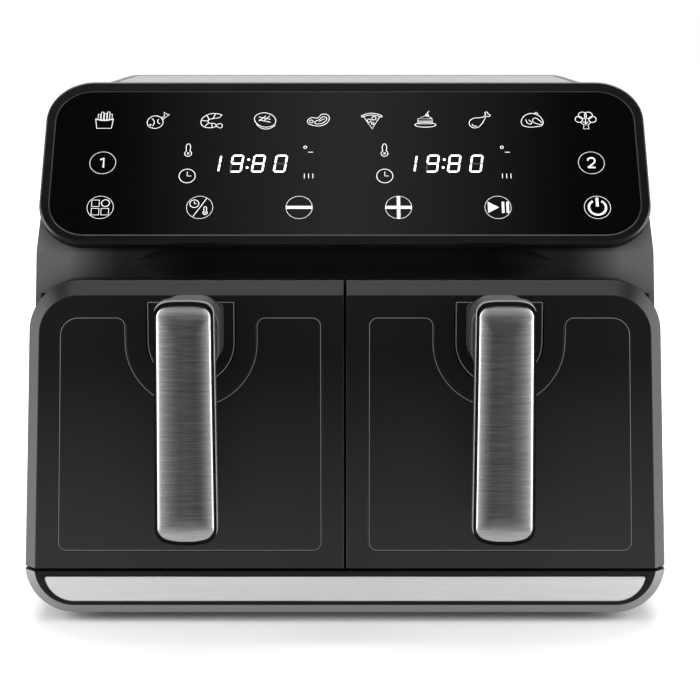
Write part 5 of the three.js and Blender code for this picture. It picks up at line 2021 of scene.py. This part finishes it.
@dataclass
class CookingCell:
    """What is behind one drawer: the cavity, the heater and the fans."""

    bench: Bench
    side: Side
    tube_radius: float = 3.2
    wire: float = 1.2

    def centre(self) -> Vector:
        """The axis of the heater and the fans."""
        return Extent.of(f"motor_shaft_{self.side.word}").middle

    def element(self) -> Mesh:
        """The sheathed tube, bent in two turns with its ends up through the roof."""
        box = Extent.of(f"heating_element_{self.side.word}")
        height, top = box.low.z + self.tube_radius - 2.0, box.high.z
        outer, inner, leg = 64.0, 46.0, 70.0

        def around(turn: float, radius: float, up: float) -> tuple[float, float, float]:
            """A point at an angle in degrees and a radius from the axis."""
            bent = math.radians(turn)
            return (radius * math.cos(bent), radius * math.sin(bent), up)

        points = [
            around(96, leg, top), around(96, leg, height + 10), around(101, leg - 2, height + 1.5)
        ]
        points += [around(turn, outer, height + 2) for turn in range(115, 416, 30)]
        points.append(around(426, (outer + inner) / 2, height + 2))
        points += [around(turn, inner, height + 2) for turn in range(415, 114, -30)]
        points += [around(92, inner + 6, height + 2), around(85, leg - 5, height + 3)]
        points += [around(84, leg, height + 10), around(84, leg, top)]
        centre = self.centre()
        made = tube([Stroke(points)], self.tube_radius, sides=3)
        return moved(made, Matrix.Translation((centre.x, centre.y, 0)))

    def guard(self) -> Mesh:
        """The wire guard under the heater."""
        box = Extent.of(f"element_guard_{self.side.word}")
        reach = (box.high.x - box.low.x) / 2 - self.wire
        rings = [hoop(radius, self.wire) for radius in (18.0, 36.0, 55.0, reach)]
        spokes = []
        lie = Matrix.Rotation(math.pi / 2, 4, "Y")
        for step in range(3):
            turn = Matrix.Rotation(math.pi * step / 3, 4, "Z")
            spokes.append(moved(bar(self.wire * 0.8, reach), turn, lie))
        centre = self.centre()
        whole = together(*rings, *spokes)
        return moved(whole, Matrix.Translation((centre.x, centre.y, box.middle.z)))

    def build(self) -> None:
        """Makes the heater and its guard, and dresses what stays as the frame has it."""
        word = self.side.word
        wires = (
            ("heater_tube", self.element, "heating_element"),
            ("guard_wires", self.guard, "element_guard"),
        )
        for name, shape, stem in wires:
            node = f"{stem}_{word}"
            self.bench.piece(f"{name}_{word}", shape(), HEATER_TUBE, "chassis", "heater", [node])
        finishes: dict[str, Finish] = {
            "cavity_liner": LINER_SHEET,
            "impeller": LINER_SHEET,
            "exhaust_duct": LINER_SHEET,
            "motor": MOTOR_CAN,
            "motor_shaft": SCREW_ZINC,
            "temperature_sensor": SCREW_ZINC,
            "cooling_fan": NYLON,
            "drawer_switch": NYLON,
        }
        for stem, finish in finishes.items():
            self.bench.dress(f"{stem}_{word}", finish)


# ---- The studio ----


@dataclass
class Studio:
    """The camera, the floor and the lights."""

    distance: float = 1.170  # from the camera to the drawers' face
    eye_height: float = 0.3686
    pitch: float = 8.53
    focal_ratio: float = 2000 / 700  # lens over sensor width
    shift: tuple[float, float] = (0.0071, -0.06)
    sky_light: float = 0.8
    room_light: float = 0.03
    under_light: float = 0.9
    behind_light: float = 0.6
    side_light: float = 0.85
    strip_light: float = 3.0
    over_light: float = 0.6
    overhead_light: float = 3.2
    sheen: float = 0.4
    side_power: float = 14.0
    top_power: float = 45.0

    def camera(self) -> None:
        """Sets the camera a little above the object, in front of it."""
        data = bpy.data.cameras.new("camera")
        data.sensor_width = 36.0
        data.lens = data.sensor_width * self.focal_ratio
        data.shift_x, data.shift_y = self.shift
        thing = bpy.data.objects.new("camera", data)
        thing.location = (0.0, FACE_Y * MM - self.distance, self.eye_height)
        thing.rotation_euler = (math.radians(90 - self.pitch), 0.0, 0.0)
        bpy.context.scene.collection.objects.link(thing)
        bpy.context.scene.camera = thing

    def sheet(self, name: str, half: float, material: bpy.types.Material) -> bpy.types.Object:
        """A flat square that belongs to the studio."""
        made = bmesh.new()
        bmesh.ops.create_grid(made, x_segments=1, y_segments=1, size=half)
        data = bpy.data.meshes.new(name)
        made.to_mesh(data)
        made.free()
        data.materials.append(material)
        thing = bpy.data.objects.new(name, data)
        bpy.context.scene.collection.objects.link(thing)
        return thing

    def floor(self) -> None:
        """A plain white floor that polished faces don't mirror."""
        graph = Graph("floor_white")
        place = graph.place()
        cloud = graph.noise(0.6, place, 2.0)
        colour = graph.blend(cloud, grey(0.9), grey(0.92))
        away = graph.add("ShaderNodeVectorMath", {"operation": "LENGTH"}, {0: place}, "Value")
        pale = graph.blend(graph.ramp(away, 0.3, 0.9), grey(0.0), grey(0.5))
        white = graph.surface(
            base_color=colour, roughness=0.9, emission_color=pale, emission_strength=1.0
        )
        thing = self.sheet("floor", 6.0, white)
        thing.visible_glossy = False

    def softbox(
        self, name: str, place: Vector, target: Vector, size: tuple[float, float], power: float
    ) -> None:
        """A rectangular area light that points at a target."""
        data = bpy.data.lights.new(name, "AREA")
        data.shape = "RECTANGLE"
        data.size, data.size_y = size
        data.energy = power
        thing = bpy.data.objects.new(name, data)
        thing.location = place
        thing.rotation_euler = (target - place).to_track_quat("-Z", "Y").to_euler()
        bpy.context.scene.collection.objects.link(thing)

    def surroundings(self) -> None:
        """White behind the object, and for what it reflects a dim room over a white floor."""
        world = bpy.data.worlds.new("studio")
        graph = Graph("studio", world)
        seen = graph.add("ShaderNodeLightPath", output="Is Camera Ray")
        lit = graph.add("ShaderNodeLightPath", output="Is Diffuse Ray")
        mirrored_ray = graph.add("ShaderNodeLightPath", output="Is Glossy Ray")
        heading = graph.add("ShaderNodeTexCoord", output="Generated")
        across, along, up = graph.parts(heading)
        aside = graph.add("ShaderNodeMath", {"operation": "ABSOLUTE"}, {0: across})
        behind = graph.ramp(along, 0.3, 0.9)
        under = graph.ramp(up, -0.32, -0.55) * (1 - behind)
        sides = graph.ramp(aside, 0.08, 0.72) * (1 - under) * graph.ramp(up, 0.85, 0.65)
        strips = graph.ramp(aside, 0.75, 0.92)
        over = graph.ramp(up, 0.05, 0.4) * graph.ramp(up, 0.82, 0.65) * (1 - behind)
        overhead = graph.ramp(along, -0.2, -0.12) * graph.ramp(up, 0.88, 0.95)
        sheen = graph.ramp(aside, 0.11, 0.0) * graph.ramp(up, 0.75, 0.85)
        room = under * self.under_light + behind * self.behind_light + self.room_light
        room = room + sides * self.side_light + strips * self.strip_light
        room = room + over * self.over_light + overhead * self.overhead_light + sheen * self.sheen
        strength = seen + lit * self.sky_light + mirrored_ray * room
        sky = graph.add("ShaderNodeBackground", {}, {"Color": WHITE, "Strength": strength})
        graph.finish("ShaderNodeOutputWorld", sky)
        world.cycles.sampling_method = "NONE"
        bpy.context.scene.world = world

    def build(self) -> None:
        """Sets the camera, floor and lights."""
        self.camera()
        self.floor()
        self.surroundings()
        middle = Vector((0, 0, 0.16))
        for name, side in (("left_softbox", -1), ("right_softbox", 1)):
            self.softbox(
                name, Vector((side * 1.3, -0.5, 0.55)), middle, (0.5, 1.2), self.side_power
            )
        self.softbox("top_softbox", Vector((0, 0.6, 1.9)), middle, (1.6, 0.9), self.top_power)
        bpy.context.scene.view_settings.view_transform = "Standard"


def main() -> None:
    """Builds the studio and then every sub-assembly."""
    logging.basicConfig(level=logging.INFO, format="%(name)s %(message)s")
    Studio().build()
    bench = Bench()
    Base(bench).build()
    Housing(bench).build()
    Rear(bench).build()
    ControlPanel(bench).build()
    for side in Side:
        Drawer(bench, side).build()
        CookingCell(bench, side).build()
    bench.dress("front_frame", FRONT_BLACK)
    bench.dress("motor_deck", LINER_SHEET)
    bench.dress("power_board", CircuitBoard())


if __name__ == "__main__":
    main()
